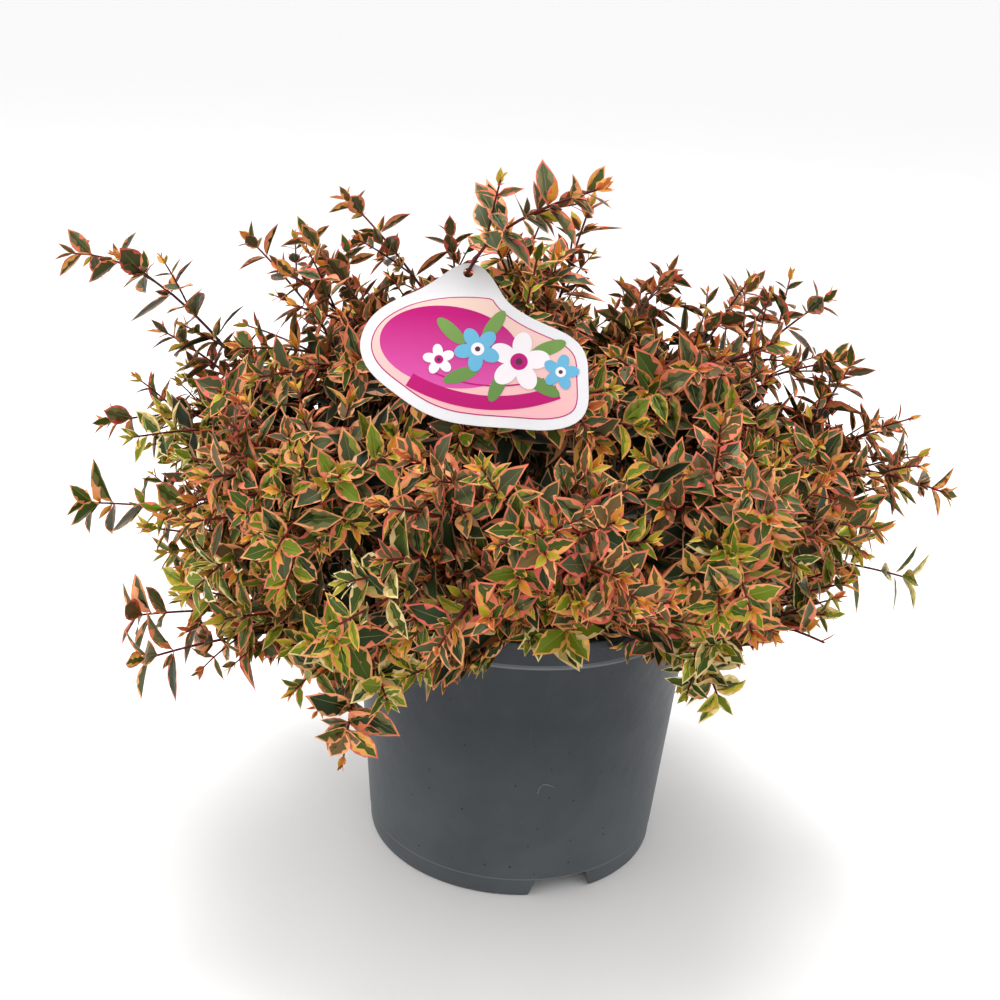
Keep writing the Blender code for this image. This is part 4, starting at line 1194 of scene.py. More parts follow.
@dataclass
class LeafTemplate:
    """One leaf a unit long: a folded blade with a rib, flames and a jagged margin."""

    points: np.ndarray
    faces: np.ndarray
    zones: np.ndarray

    @staticmethod
    def half_width(outline: tuple[tuple[float, float], ...], along: float) -> float:
        """Half width of an outline, as a share of its widest, at a place along the leaf."""
        for (start, wide), (end, other) in zip(outline, outline[1:]):
            if along <= end:
                return wide + (other - wide) * (along - start) / (end - start)
        return 0.0

    @classmethod
    def cut(cls, dice: random.Random, grown: bool) -> LeafTemplate:
        """Cut a template.

        Args:
            dice: Source of its random sizes.
            grown: False for a small leaf with fewer faces and no rib.

        Returns:
            The template.
        """
        outline = OUTLINE if grown else SMALL_OUTLINE
        half = dice.uniform(0.205, 0.270) if grown else dice.uniform(0.14, 0.22)
        if grown and dice.random() < 0.20:
            half = dice.uniform(0.30, 0.36)
        fold, curl = dice.uniform(0.10, 0.45), dice.uniform(0.03, 0.20)
        twist, wave = dice.uniform(-0.35, 0.35), dice.uniform(0.0, 0.01)
        points: list[tuple[float, float, float]] = []
        faces: list[tuple[int, int, int]] = []
        zones: list[int] = []

        def row(spots: list[tuple[float, float]]) -> list[tuple[float, int]]:
            """Add points given by place along the leaf and share of the half width."""
            made = []
            for along, share in spots:
                y = share * half
                z = fold * abs(y) - curl * along * along + wave * math.sin(along * 15.0) * abs(share)
                angle = twist * along
                points.append((along, y * math.cos(angle) - z * math.sin(angle), y * math.sin(angle) + z * math.cos(angle)))
                made.append((along, len(points) - 1))
            return made

        def zipped(one: list[tuple[float, int]], other: list[tuple[float, int]], zone: Zone, turn: bool) -> None:
            """Fill the strip between two rows with triangles."""
            i = j = 0
            while i + 1 < len(one) or j + 1 < len(other):
                ahead = j + 1 >= len(other) or (i + 1 < len(one) and one[i + 1][0] <= other[j + 1][0])
                corner = one[i + 1][1] if ahead else other[j + 1][1]
                face = (one[i][1], corner, other[j][1])
                faces.append(face if turn else face[::-1])
                zones.append(zone.value)
                i, j = (i + 1, j) if ahead else (i, j + 1)

        rib_width = 0.05 if grown else 0.0
        spine = (0.0, 0.15, 0.50, 0.90) if grown else (0.0, 0.40, 0.80)
        for side in (1.0, -1.0):
            edge = row([(along, side * wide) for along, wide in outline])
            rib = row([(along, side * rib_width * (1.0 - along)) for along in spine])
            jag = row(cls.jagged(dice, outline, side, grown))
            if grown and dice.random() < 0.55:
                core = row(cls.core(dice, outline, side))
                zipped(rib + [jag[-1]], core + [jag[-1]], Zone.BLADE, side > 0.0)
                zipped([jag[0]] + core + [jag[-1]], jag, Zone.FLAME, side > 0.0)
            else:
                zipped(rib + [jag[-1]], jag, Zone.BLADE, side > 0.0)
            zipped(jag, edge, Zone.MARGIN, side > 0.0)
            if grown and side > 0.0:
                first = rib
            elif grown:
                zipped(rib, first, Zone.RIB, True)
        corners = np.array(points)[np.array(faces)]
        across = np.cross(corners[:, 1] - corners[:, 0], corners[:, 2] - corners[:, 0])
        solid = np.linalg.norm(across, axis=1) > 1e-7
        return cls(np.array(points), np.array(faces)[solid], np.array(zones)[solid])

    @classmethod
    def core(cls, dice: random.Random, outline: tuple[tuple[float, float], ...], side: float) -> list[tuple[float, float]]:
        """Edge between the darker middle of a blade and its flames.

        Args:
            dice: Source of the flames.
            outline: The leaf's outline.
            side: 1 or -1.

        Returns:
            Place along the leaf and share of the half width of each point.
        """
        spots = []
        for i, along in enumerate((0.20, 0.33, 0.46, 0.60, 0.74)):
            share = dice.uniform(0.08, 0.26) if i % 2 else dice.uniform(0.34, 0.58)
            spots.append((along + dice.uniform(-0.03, 0.03), side * share * cls.half_width(outline, along)))
        return spots

    @classmethod
    def jagged(cls, dice: random.Random, outline: tuple[tuple[float, float], ...], side: float,
               grown: bool) -> list[tuple[float, float]]:
        """Inner edge of one margin, toothed and here and there reaching the rib.

        Args:
            dice: Source of the teeth.
            outline: The leaf's outline.
            side: 1 or -1.
            grown: Whether it has all its teeth.

        Returns:
            Place along the leaf and share of the half width of each point.
        """
        count = 7 if grown else 4
        deep = dice.randrange(2, count - 1) if dice.random() < 0.4 else -1
        broad = dice.uniform(0.66, 0.84)
        spots = [(0.10 if grown else 0.06, 0.0)]
        for i in range(1, count):
            along = 0.10 + 0.80 * i / count + dice.uniform(-0.02, 0.02)
            share = broad + (0.14 if i % 2 else -0.12) * dice.uniform(0.5, 1.2)
            if i == deep:
                share = dice.uniform(0.12, 0.35)
            spots.append((along, side * share * cls.half_width(outline, along)))
        spots.append((dice.uniform(0.90, 0.95), 0.0))
        return spots


class LeafHeap:
    """Leaves of one piece, gathered as places for the templates."""

    def __init__(self, templates: list[LeafTemplate]) -> None:
        """Start with none."""
        self.templates = templates
        self.places: list[list[np.ndarray]] = [[] for _ in templates]
        self.tints: list[list[tuple[int, ...]]] = [[] for _ in templates]

    def add(self, kind: int, place: np.ndarray, tints: tuple[int, ...]) -> None:
        """Add a leaf.

        Args:
            kind: Number of its template.
            place: Its axes and root, as a matrix of three rows and four columns.
            tints: Tint number of each zone.
        """
        self.places[kind].append(place)
        self.tints[kind].append(tints)

    def mesh(self, name: str) -> bpy.types.Object:
        """Join the leaves.

        Args:
            name: Name of the piece.

        Returns:
            The piece.
        """
        points, faces, slots = [], [], []
        count = 0
        for template, places, tints in zip(self.templates, self.places, self.tints):
            if not places:
                continue
            stack = np.array(places)
            made = np.einsum("kij,nj->kni", stack[:, :, :3], template.points) + stack[:, None, :, 3]
            offsets = count + len(template.points) * np.arange(len(places))
            points.append(made.reshape(-1, 3))
            faces.append((template.faces[None] + offsets[:, None, None]).reshape(-1, 3))
            slots.append(np.array(tints)[:, template.zones].ravel())
            count += len(template.points) * len(places)
        return mesh_of(name, np.concatenate(points), np.concatenate(faces), np.concatenate(slots), LEAF_TINTS)


class TwigHeap:
    """Twigs of one piece, gathered as tubes."""

    def __init__(self) -> None:
        """Start with none."""
        self.points: list[np.ndarray] = []
        self.faces: list[np.ndarray] = []
        self.slots: list[np.ndarray] = []
        self.count = 0

    def add(self, path: list[Vector], radii: list[float], tints: list[int], sides: int) -> None:
        """Add a twig.

        Args:
            path: Points along it.
            radii: Its radius at each point.
            tints: Tint number of each stretch between points.
            sides: Sides of the tube.
        """
        rings = []
        side = None
        for i, point in enumerate(path):
            ahead = (path[min(i + 1, len(path) - 1)] - path[max(i - 1, 0)]).normalized()
            guide = side or (UP if abs(ahead.z) < 0.9 else RIGHT)
            side = (guide - ahead * guide.dot(ahead)).normalized()
            across = ahead.cross(side)
            for k in range(sides):
                angle = math.tau * k / sides
                rings.append(point + (side * math.cos(angle) + across * math.sin(angle)) * radii[i])
        rings.append(path[-1] + ahead * radii[-1])
        faces, slots = [], []
        for i in range(len(path) - 1):
            for k in range(sides):
                a, b = i * sides + k, i * sides + (k + 1) % sides
                faces += [(a, b, b + sides), (a, b + sides, a + sides)]
                slots += [tints[i]] * 2
        last, tip = (len(path) - 1) * sides, len(path) * sides
        for k in range(sides):
            faces.append((last + k, last + (k + 1) % sides, tip))
            slots.append(tints[-1])
        self.points.append(np.array(rings))
        self.faces.append(np.array(faces) + self.count)
        self.slots.append(np.array(slots))
        self.count += len(rings)

    def mesh(self, name: str) -> bpy.types.Object:
        """Join the twigs to a piece of this name."""
        joined_faces, joined_slots = np.concatenate(self.faces), np.concatenate(self.slots)
        return mesh_of(name, np.concatenate(self.points), joined_faces, joined_slots, TWIG_TINTS)


def arc(start: Vector, control: Vector, end: Vector, count: int) -> list[Vector]:
    """Points along a quadratic arc.

    Args:
        start: First point.
        control: Point that pulls the arc.
        end: Last point.
        count: How many points.

    Returns:
        The points.
    """
    points = []
    for i in range(count):
        t = i / (count - 1)
        points.append(start * (1.0 - t) ** 2 + control * (2.0 * t * (1.0 - t)) + end * t ** 2)
    return points


@dataclass
class Mass:
    """One mass of foliage, between the end of its bough and the crown's outline."""

    name: str
    azimuth: float
    ring: Ring
    form: CrownForm
    entry_share: float = 0.50
    heart_share: float = 0.70
    clearance: float = 0.006

    def __post_init__(self) -> None:
        """Work out the mass's axis, entry and heart."""
        self.own = self.form.stretched(self.azimuth, self.ring.value)
        self.axis = self.form.real(self.own)
        reach = self.form.reach(self.axis)
        self.entry = self.form.focus + self.axis * (reach * self.entry_share)
        self.heart = self.form.focus + self.axis * (reach * self.heart_share)
        self.heart.z = max(self.heart.z, self.form.hem(self.heart) + self.clearance)

    @property
    def node(self) -> str:
        """The CAD node that the mass's twigs and leaves stand for."""
        return f"foliage_{self.name}"


@dataclass
class Growth:
    """Rule by which twigs and leaves grow on from the limbs."""

    leaf: float = 0.0245
    youngest_share: float = 0.30
    growing_length: float = 0.012
    tight_angle: float = 15.0
    open_angle: float = 58.0
    body_gaps: tuple[float, ...] = (0.0, 0.002, 0.005, 0.010, 0.018, 0.027, 0.037, 0.048, 0.060, 0.073)
    branch_gaps: tuple[float, ...] = (0.003, 0.014, 0.026, 0.038)
    long_gap: float = 0.0165
    tuft_share: float = 0.40
    opening_share: float = 0.5
    face_share: float = 0.65
    sky_share: float = 0.40
    outward_share: float = 0.32
    inner_from: float = 0.034
    long_inner_from: float = 0.090
    pot_radius: float = 0.0950
    pot_height: float = 0.1550
    tries: tuple[tuple[float, float], ...] = ((1.0, 1.0), (0.65, 0.9), (0.35, 0.8))
    grown_templates: int = 16
    small_templates: int = 8
    seed: int = 41


class Grower:
    """Grows leafy twigs into the heaps of one piece."""

    def __init__(self, rule: Growth, form: CrownForm, label: LabelPlace, leaves: LeafHeap, twigs: TwigHeap,
                 seed: int) -> None:
        """Take the rule and the heaps.

        Args:
            rule: The growth rule.
            form: The crown's form, whose hem growth keeps above.
            label: The label's place, which growth keeps off.
            leaves: Where leaves go.
            twigs: Where twigs go.
            seed: Seed of the random draws.
        """
        self.rule, self.form, self.label, self.leaves, self.twigs = rule, form, label, leaves, twigs
        self.dice = random.Random(seed)
        self.below_hem = 0.0

    def free(self, points: list[Vector]) -> bool:
        """Whether points keep off the pot and the label, and above the hem."""
        for p in points:
            if p.z < self.rule.pot_height and math.hypot(p.x, p.y) < self.rule.pot_radius:
                return False
            if p.z < self.form.hem(p) - self.below_hem:
                return False
        return self.label.clear(points)

    def tints_of(self, spray: Spray, age: Age) -> tuple[int, ...]:
        """Pick the tint number of each zone for a leaf of a spray and age."""
        return tuple(LEAF_TINTS.index(self.dice.choice(tints)) for tints in WARDROBE[spray, age])

    def leaf(self, root: Vector, along: Vector, upper: Vector, length: float, tints: tuple[int, ...],
             plain: bool = False) -> bool:
        """Add a leaf where it has room.

        Args:
            root: Where its stalk leaves the twig.
            along: Its direction.
            upper: Direction that its upper face looks to.
            length: Its length.
            tints: Tint number of each zone.
            plain: Whether it lies so deep that fewer faces do.

        Returns:
            Whether it was added.
        """
        along = along.normalized()
        across = upper.cross(along).normalized()
        upper = along.cross(across)
        tip = root + along * length - upper * (length * 0.12)
        middle = root + along * (length * 0.45)
        half = across * (length * 0.24)
        if not self.free([root + along * (length * 0.12), middle + half, middle - half, tip]):
            return False
        small = length < 0.0135 or plain
        rule = self.rule
        kind = rule.grown_templates + self.dice.randrange(rule.small_templates) if small else self.dice.randrange(rule.grown_templates)
        wide = length * self.dice.uniform(0.88, 1.10)
        high = length * self.dice.uniform(0.7, 1.3)
        place = np.array([[along[i] * length, across[i] * wide, upper[i] * high, root[i]] for i in range(3)])
        self.leaves.add(kind, place, tints)
        return True

    def pair(self, node: Vector, ahead: Vector, side: Vector, angle: float, length: float, spray: Spray, age: Age,
             bud: bool) -> None:
        """Add two leaves on opposite sides of a node, with a tuft of small ones in each fork.

        Args:
            node: The node's place.
            ahead: Direction of the twig there.
            side: Direction of the first leaf, square to the twig.
            angle: Angle from the twig in degrees.
            length: Length of the leaves.
            spray: The twig's colouring.
            age: Age of the leaves.
            bud: Whether the forks bear tufts.
        """
        light = UP * self.rule.sky_share + Vector((node.x, node.y, 0.0)).normalized() * self.rule.outward_share
        for sign in (1.0, -1.0):
            tints = self.tints_of(spray, age)
            size = length * self.dice.uniform(0.86, 1.12)
            swing = self.dice.uniform(-0.22, 0.22)
            out = Matrix.Rotation(swing, 3, ahead) @ (side * sign)
            for closing, shrink in self.rule.tries:
                bend = math.radians(angle * closing + self.dice.uniform(-7.0, 7.0))
                along = ahead * math.cos(bend) + out * math.sin(bend)
                upper = (ahead * math.sin(bend) - out * math.cos(bend)) * self.rule.face_share + light
                if self.leaf(node, along, upper, size * shrink, tints, age is Age.INNER):
                    break
            if bud:
                self.tuft(node, (ahead * 1.1 + out).normalized(), out, spray)

    def tuft(self, node: Vector, way: Vector, out: Vector, spray: Spray) -> None:
        """Add a few small leaves in a fork.

        Args:
            node: The fork's place.
            way: Direction in which the tuft points.
            out: Direction square to the twig.
            spray: The twig's colouring.
        """
        root = node + way * 0.0012
        span = way.cross(out).normalized()
        for k, sign in enumerate((1.0, -1.0) if self.dice.random() < 0.6 else (1.0, -1.0, 0.0)):
            along = way + span * (sign * self.dice.uniform(0.35, 0.8)) + out * self.dice.uniform(-0.1, 0.3)
            age = Age.BUD if self.dice.random() < 0.5 else Age.YOUNG
            self.leaf(root, along, UP * 0.6 - span * sign * 0.6 + way * 0.3, self.dice.uniform(0.0065, 0.0125), self.tints_of(spray, age))

    def twig(self, path: list[Vector], thick: float, thin: float, sides: int) -> list[Vector]:
        """Add a twig, cut back to the stretch that keeps clear.

        Args:
            path: Points along it.
            thick: Radius at its start.
            thin: Radius at its tip.
            sides: Sides of the tube.

        Returns:
            The stretch that was added.
        """
        keep = 1
        while keep < len(path):
            a, b = path[keep - 1], path[keep]
            if not self.free([a.lerp(b, k / 4.0) for k in range(1, 5)]):
                break
            keep += 1
        if keep < 2:
            return []
        share = [i / (len(path) - 1) for i in range(keep)]
        radii = [thick + (thin - thick) * s for s in share]
        tints = [2 if s < 0.35 else 1 if s < 0.75 else 0 for s in share[1:]]
        self.twigs.add(path[:keep], radii, tints, sides)
        return path[:keep]

    def dress(self, path: list[Vector], gaps: list[float], spray: Spray, size: float, tufts: float,
              older: float = 0.0, inner_from: float | None = None) -> None:
        """Hang pairs of leaves on a twig, from its tip inwards.

        Args:
            path: The twig's points.
            gaps: Distance of each node from the tip.
            spray: Its colouring.
            size: Share of the full leaf length.
            tufts: Chance of tufts at a node.
            older: How much further from a tip the leaves are than the gaps say.
            inner_from: Distance from the tip at which leaves are as old as inner ones, if not the usual one.
        """
        rule = self.rule
        inner = inner_from or rule.inner_from
        turn = self.dice.uniform(0.0, math.pi)
        lengths = [(b - a).length for a, b in zip(path, path[1:])]
        for number, gap in enumerate(gaps):
            left = gap
            i = len(lengths) - 1
            while i > 0 and left > lengths[i]:
                left -= lengths[i]
                i -= 1
            if left > lengths[i]:
                break
            ahead = (path[i + 1] - path[i]).normalized()
            node = path[i + 1] - ahead * left
            guide = UP if abs(ahead.z) < 0.85 else RIGHT
            side = Matrix.Rotation(turn, 3, ahead) @ ahead.cross(guide).normalized()
            turn += math.pi * 0.5 + self.dice.uniform(-0.15, 0.15)
            gone = gap + older
            grown = 1.0 - math.exp(-gone / rule.growing_length)
            length = rule.leaf * size * (rule.youngest_share + (1.0 - rule.youngest_share) * grown)
            angle = rule.tight_angle + rule.open_angle * (1.0 - math.exp(-gone / (rule.growing_length * rule.opening_share)))
            age = Age.BUD if gone < 0.004 else Age.YOUNG if gone < 0.012 else Age.GROWN if gone < inner else Age.INNER
            bud = gone > 0.010 and self.dice.random() < tufts
            self.pair(node, ahead, side, angle, length, spray, age, bud)


# Masses, ring by ring, and the long shoots that leave the cushion
MASSES = (
    ("low_front", -88.0, Ring.LOW), ("low_front_left", -128.0, Ring.LOW), ("low_left", -172.0, Ring.LOW),
    ("low_back_left", 140.0, Ring.LOW), ("low_back", 95.0, Ring.LOW), ("low_back_right", 50.0, Ring.LOW),
    ("low_right", 5.0, Ring.LOW), ("low_front_right", -42.0, Ring.LOW),
    ("mid_front_right", -52.0, Ring.MID), ("mid_front", -92.0, Ring.MID), ("mid_front_left", -135.0, Ring.MID),
    ("mid_left", 176.0, Ring.MID), ("mid_back_left", 138.0, Ring.MID), ("mid_back", 93.0, Ring.MID),
    ("mid_back_right", 42.0, Ring.MID), ("mid_right", -4.0, Ring.MID),
    ("high_front", -102.0, Ring.HIGH), ("high_right", -22.0, Ring.HIGH), ("high_back_right", 52.0, Ring.HIGH),
    ("high_back_left", 128.0, Ring.HIGH), ("high_left", -166.0, Ring.HIGH), ("top", 0.0, Ring.TOP),
)

# Mass, azimuth in degrees, reach and height of the tip, arch as a share of the span, colouring
LONG_SHOOTS = (
    ("low_front", -84.0, 0.168, 0.198, 0.10, Spray.CREAM), ("low_front_left", -116.0, 0.176, 0.131, 0.10, Spray.CORAL),
    ("low_front_left", -142.0, 0.224, 0.156, 0.10, Spray.CORAL), ("low_left", 180.0, 0.240, 0.176, 0.10, Spray.PEACH),
    ("low_left", -163.0, 0.185, 0.155, 0.10, Spray.PEACH), ("low_back_left", 140.0, 0.225, 0.160, 0.10, Spray.PEACH),
    ("low_back", 97.0, 0.215, 0.150, 0.10, Spray.CORAL), ("low_back_right", 52.0, 0.220, 0.165, 0.10, Spray.PEACH),
    ("low_right", -8.0, 0.204, 0.171, 0.10, Spray.CREAM), ("low_front_right", -50.0, 0.146, 0.136, 0.10, Spray.CREAM),
    ("mid_front_right", -55.0, 0.178, 0.235, 0.10, Spray.PEACH), ("mid_front", -92.0, 0.186, 0.225, 0.10, Spray.PEACH),
    ("mid_front_left", -135.0, 0.190, 0.235, 0.10, Spray.PEACH), ("mid_left", 166.0, 0.268, 0.298, 0.30, Spray.CORAL),
    ("mid_left", 177.0, 0.232, 0.216, 0.10, Spray.CORAL), ("mid_left", 171.0, 0.206, 0.266, 0.10, Spray.CORAL),
    ("mid_back_left", 146.0, 0.208, 0.302, 0.10, Spray.CORAL), ("mid_back", 93.0, 0.235, 0.238, 0.10, Spray.CORAL),
    ("mid_back_right", 40.0, 0.178, 0.286, 0.10, Spray.CORAL), ("mid_back_right", 33.0, 0.203, 0.288, 0.10, Spray.CORAL),
    ("mid_right", 7.0, 0.166, 0.275, 0.10, Spray.CORAL), ("mid_right", -11.0, 0.213, 0.222, 0.10, Spray.CORAL),
    ("high_right", -26.0, 0.125, 0.300, 0.10, Spray.CORAL), ("high_back_right", 52.0, 0.122, 0.302, 0.10, Spray.CORAL),
    ("high_back_left", 139.0, 0.152, 0.331, 0.10, Spray.CORAL), ("high_left", -178.0, 0.135, 0.312, 0.10, Spray.CORAL),
    ("high_left", 158.0, 0.140, 0.318, 0.10, Spray.CORAL), ("top", 10.0, 0.022, 0.352, 0.10, Spray.CORAL),
    ("top", -155.0, 0.028, 0.341, 0.10, Spray.CORAL), ("high_front", -95.0, 0.048, 0.336, 0.10, Spray.PEACH),
    ("high_back_left", 120.0, 0.105, 0.318, 0.10, Spray.CORAL), ("high_right", 8.0, 0.110, 0.314, 0.10, Spray.CORAL),
    ("top", -140.0, 0.038, 0.338, 0.10, Spray.PEACH), ("top", -80.0, 0.030, 0.332, 0.10, Spray.CORAL),
    ("mid_right", -3.0, 0.186, 0.247, 0.10, Spray.CORAL), ("mid_back_right", 20.0, 0.186, 0.262, 0.10, Spray.CORAL),
    ("low_right", 8.0, 0.206, 0.205, 0.10, Spray.PEACH), ("low_front_left", -148.0, 0.218, 0.168, 0.10, Spray.CORAL),
    ("mid_front_left", -114.0, 0.128, 0.266, 0.10, Spray.PEACH),
)


@dataclass
class Foliage:
    """All twigs and leaves, joined by ring and side."""

    form: CrownForm
    label: LabelPlace
    rule: Growth = field(default_factory=Growth)
    shoots: int = 660
    inner_shoots: int = 340
    stray_shoots: int = 46
    heads: int = 6
    lowest: float = -0.52
    low_leaf: tuple[float, float] = (1.15, 0.008)
    long_leaf: tuple[float, float] = (1.0, 0.002)
    low_hang: float = 0.035
    bough_tip: float = 0.0014
    twig_radius: float = 0.00085
    twig_tip: float = 0.00050
    label_mass: str = "high_front"
    label_bend: Vector = field(default_factory=lambda: Vector((-0.0500, -0.0770, 0.2950)))
    label_lean: Vector = field(default_factory=lambda: Vector((0.40, -0.14, 0.75)))
    label_tip: Vector = field(default_factory=lambda: Vector((0.0180, -0.0980, 0.3680)))

    def __post_init__(self) -> None:
        """Place the masses and cut the leaf templates."""
        self.masses = [Mass(name, azimuth, ring, self.form) for name, azimuth, ring in MASSES]
        dice = random.Random(self.rule.seed)
        self.templates = [LeafTemplate.cut(dice, True) for _ in range(self.rule.grown_templates)]
        self.templates += [LeafTemplate.cut(dice, False) for _ in range(self.rule.small_templates)]

    def body_tips(self) -> list[tuple[int, Vector]]:
        """Spread the cushion's shoots over it.

        Returns:
            For each shoot, the number of its mass and the place of its tip.
        """
        dice = random.Random(self.rule.seed + 1)
        found = []
        for k in range(self.shoots):
            lift = 1.0 - (k + 0.5) / self.shoots * (1.0 - self.lowest)
            flat = math.sqrt(1.0 - lift * lift)
            angle = k * GOLDEN_ANGLE + dice.uniform(-0.05, 0.05)
            way = Vector((flat * math.cos(angle), flat * math.sin(angle), lift))
            owner = max(range(len(self.masses)), key=lambda i: self.masses[i].own.dot(way))
            real = self.form.real(way)
            inset = dice.uniform(-0.010, 0.004) if dice.random() < 0.16 else dice.uniform(0.004, 0.034)
            tip = self.form.focus + real * (self.form.reach(real) - self.form.setback(real) - inset)
            tip.z = max(tip.z, self.form.hem(tip) + dice.uniform(0.008, 0.016))
            found.append((owner, tip))
        return found

    def grow_inner_shoots(self, growers: list[Grower]) -> None:
        """Grow short leafy shoots inside the cushion, one after another all round.

        Args:
            growers: The grower of each mass.
        """
        for k in range(self.inner_shoots):
            lift = 0.95 - 1.35 * (k + 0.5) / self.inner_shoots
            flat = math.sqrt(1.0 - lift * lift)
            angle = k * GOLDEN_ANGLE + 1.0
            way = Vector((flat * math.cos(angle), flat * math.sin(angle), lift))
            owner = max(range(len(self.masses)), key=lambda i: self.masses[i].own.dot(way))
            mass, grower = self.masses[owner], growers[owner]
            real = self.form.real(way)
            tip = self.form.focus + real * (self.form.reach(real) * grower.dice.uniform(0.45, 0.86))
            tip.z = max(tip.z, self.form.hem(tip) + 0.012)
            root = mass.entry.lerp(mass.heart, grower.dice.uniform(0.0, 1.0))
            path = grower.twig(arc(root, root.lerp(tip, 0.5) + real * 0.004, tip, 5), self.twig_radius, self.twig_tip, 4)
            if len(path) > 1:
                gaps = list(self.rule.body_gaps[2:])
                grower.dress(path, gaps, self.spray_at(tip, grower.dice), 0.9, 0.3, 0.034)

    def spray_at(self, tip: Vector, dice: random.Random) -> Spray:
        """Deal out the colouring of a shoot by its height and side.

        Args:
            tip: Place of its tip.
            dice: Source of the draw.

        Returns:
            The colouring.
        """
        height = (tip.z - 0.150) / 0.150
        coral = 0.06 + 0.81 * height + (0.06 if tip.x > 0.05 else 0.0)
        cream = 0.53 - 0.78 * height + (0.06 if tip.x < -0.05 else 0.0)
        draw = dice.random()
        if draw < coral:
            return Spray.CORAL
        return Spray.CREAM if draw > 1.0 - cream else Spray.PEACH

    def grow_branches(self, grower: Grower, mass: Mass, tips: list[Vector]) -> None:
        """Fan branches out in a mass, each towards its share of the tips, and grow the shoots from them.

        Args:
            grower: The mass's grower.
            mass: The mass.
            tips: Tips of the mass's shoots.
        """
        heads = [tips[0]]
        while len(heads) < min(self.heads, len(tips)):
            heads.append(max(tips, key=lambda tip: min((tip - head).length for head in heads)))
        for head in heads:
            own = [tip for tip in tips if min(heads, key=lambda other: (tip - other).length) is head]
            middle = sum(own, Vector()) / len(own)
            start = mass.entry.lerp(mass.heart, grower.dice.uniform(0.2, 0.7))
            end = mass.heart.lerp(middle, 0.32)
            control = start.lerp(end, 0.5) + mass.axis * ((end - start).length * 0.15)
            branch = grower.twig(arc(start, control, end, 6), self.bough_tip * 0.8, self.twig_radius, 5)
            if len(branch) < 3:
                continue
            grower.dress(branch, list(self.rule.branch_gaps), self.spray_at(middle, grower.dice), 0.85, 0.5, 0.045)
            for k, tip in enumerate(own):
                place = 2 + k % (len(branch) - 2)
                self.grow_body_shoot(grower, branch[place], branch[place] - branch[place - 1], tip)

    def grow_body_shoot(self, grower: Grower, root: Vector, ahead: Vector, tip: Vector) -> None:
        """Grow one short shoot of the cushion.

        Args:
            grower: The mass's grower.
            root: Where it leaves its branch.
            ahead: Direction of the branch there.
            tip: Place of the shoot's tip.
        """
        dice = grower.dice
        span = (tip - root).length
        control = root + ahead.normalized() * (span * 0.35) + UP * (span * 0.06)
        path = grower.twig(arc(root, control, tip, 7), self.twig_radius * 0.95, self.twig_tip, 4)
        if len(path) < 2:
            return
        gaps = list(self.rule.body_gaps)
        grower.dress(path, gaps, self.spray_at(tip, dice), dice.uniform(0.80, 1.05), self.rule.tuft_share)

    def grow_stray_shoots(self, growers: list[Grower]) -> None:
        """Grow longer, looser shoots that stand a little out of the cushion all round.

        Args:
            growers: The grower of each mass.
        """
        for k in range(self.stray_shoots):
            lift = 0.96 - 1.02 * (k + 0.5) / self.stray_shoots
            flat = math.sqrt(1.0 - lift * lift)
            angle = k * GOLDEN_ANGLE + 2.2
            way = Vector((flat * math.cos(angle), flat * math.sin(angle), lift))
            owner = max(range(len(self.masses)), key=lambda i: self.masses[i].own.dot(way))
            grower = growers[owner]
            real = self.form.real(way)
            stray = grower.dice.uniform(0.000, 0.014) - 0.7 * self.form.setback(real)
            tip = self.form.focus + real * (self.form.reach(real) + stray)
            azimuth = math.degrees(math.atan2(tip.y, tip.x))
            self.grow_long_shoot(grower, self.masses[owner], azimuth, math.hypot(tip.x, tip.y), tip.z, 0.12,
                                 self.spray_at(tip, grower.dice), *self.long_leaf)

    def grow_long_shoot(self, grower: Grower, mass: Mass, azimuth: float, reach: float, height: float, arch: float,
                        spray: Spray, size: float, older: float) -> None:
        """Grow one long shoot, with a few side twigs where it leaves the cushion.

        Args:
            grower: The mass's grower.
            mass: The mass.
            azimuth: Azimuth of the tip in degrees.
            reach: Distance of the tip from the axis.
            height: Height of the tip.
            arch: How far the shoot arches up, as a share of its span.
            spray: Its colouring.
            size: Share of the full leaf length.
            older: How much further from the tip the leaves are than their places say.
        """
        start = mass.heart
        outermost = polar(azimuth, reach, height)
        tip = outermost + (start - outermost).normalized() * 0.008
        span = (tip - start).length
        control = start.lerp(tip, 0.5) + UP * (span * arch)
        path = grower.twig(arc(start, control, tip, 13), self.twig_radius * 1.15, self.twig_tip, 5)
        if len(path) < 2:
            return
        gaps = [0.0, 0.002, 0.006, 0.013]
        while gaps[-1] < span:
            gaps.append(gaps[-1] + self.rule.long_gap * grower.dice.uniform(0.85, 1.15))
        grower.dress(path, gaps, spray, size, 0.85, older, self.rule.long_inner_from)
        for k in (3, 5, 7):
            if k + 1 < len(path):
                self.grow_side_twig(grower, path[k], (path[k + 1] - path[k]).normalized(), spray)

    def grow_side_twig(self, grower: Grower, root: Vector, ahead: Vector, spray: Spray) -> None:
        """Grow a short side twig from a long shoot.

        Args:
            grower: The mass's grower.
            root: Where it leaves the shoot.
            ahead: Direction of the shoot there.
            spray: Its colouring.
        """
        dice = grower.dice
        side = Matrix.Rotation(dice.uniform(0.0, math.tau), 3, ahead) @ ahead.cross(UP).normalized()
        way = (ahead + side * 0.8 + UP * 0.25).normalized()
        tip = root + way * dice.uniform(0.022, 0.038)
        path = grower.twig(arc(root, root.lerp(tip, 0.5) + UP * 0.002, tip, 4), self.twig_tip * 1.2, self.twig_tip * 0.8, 4)
        if len(path) > 1:
            grower.dress(path, [0.0, 0.003, 0.009, 0.018, 0.028], spray, 0.72, 0.4)

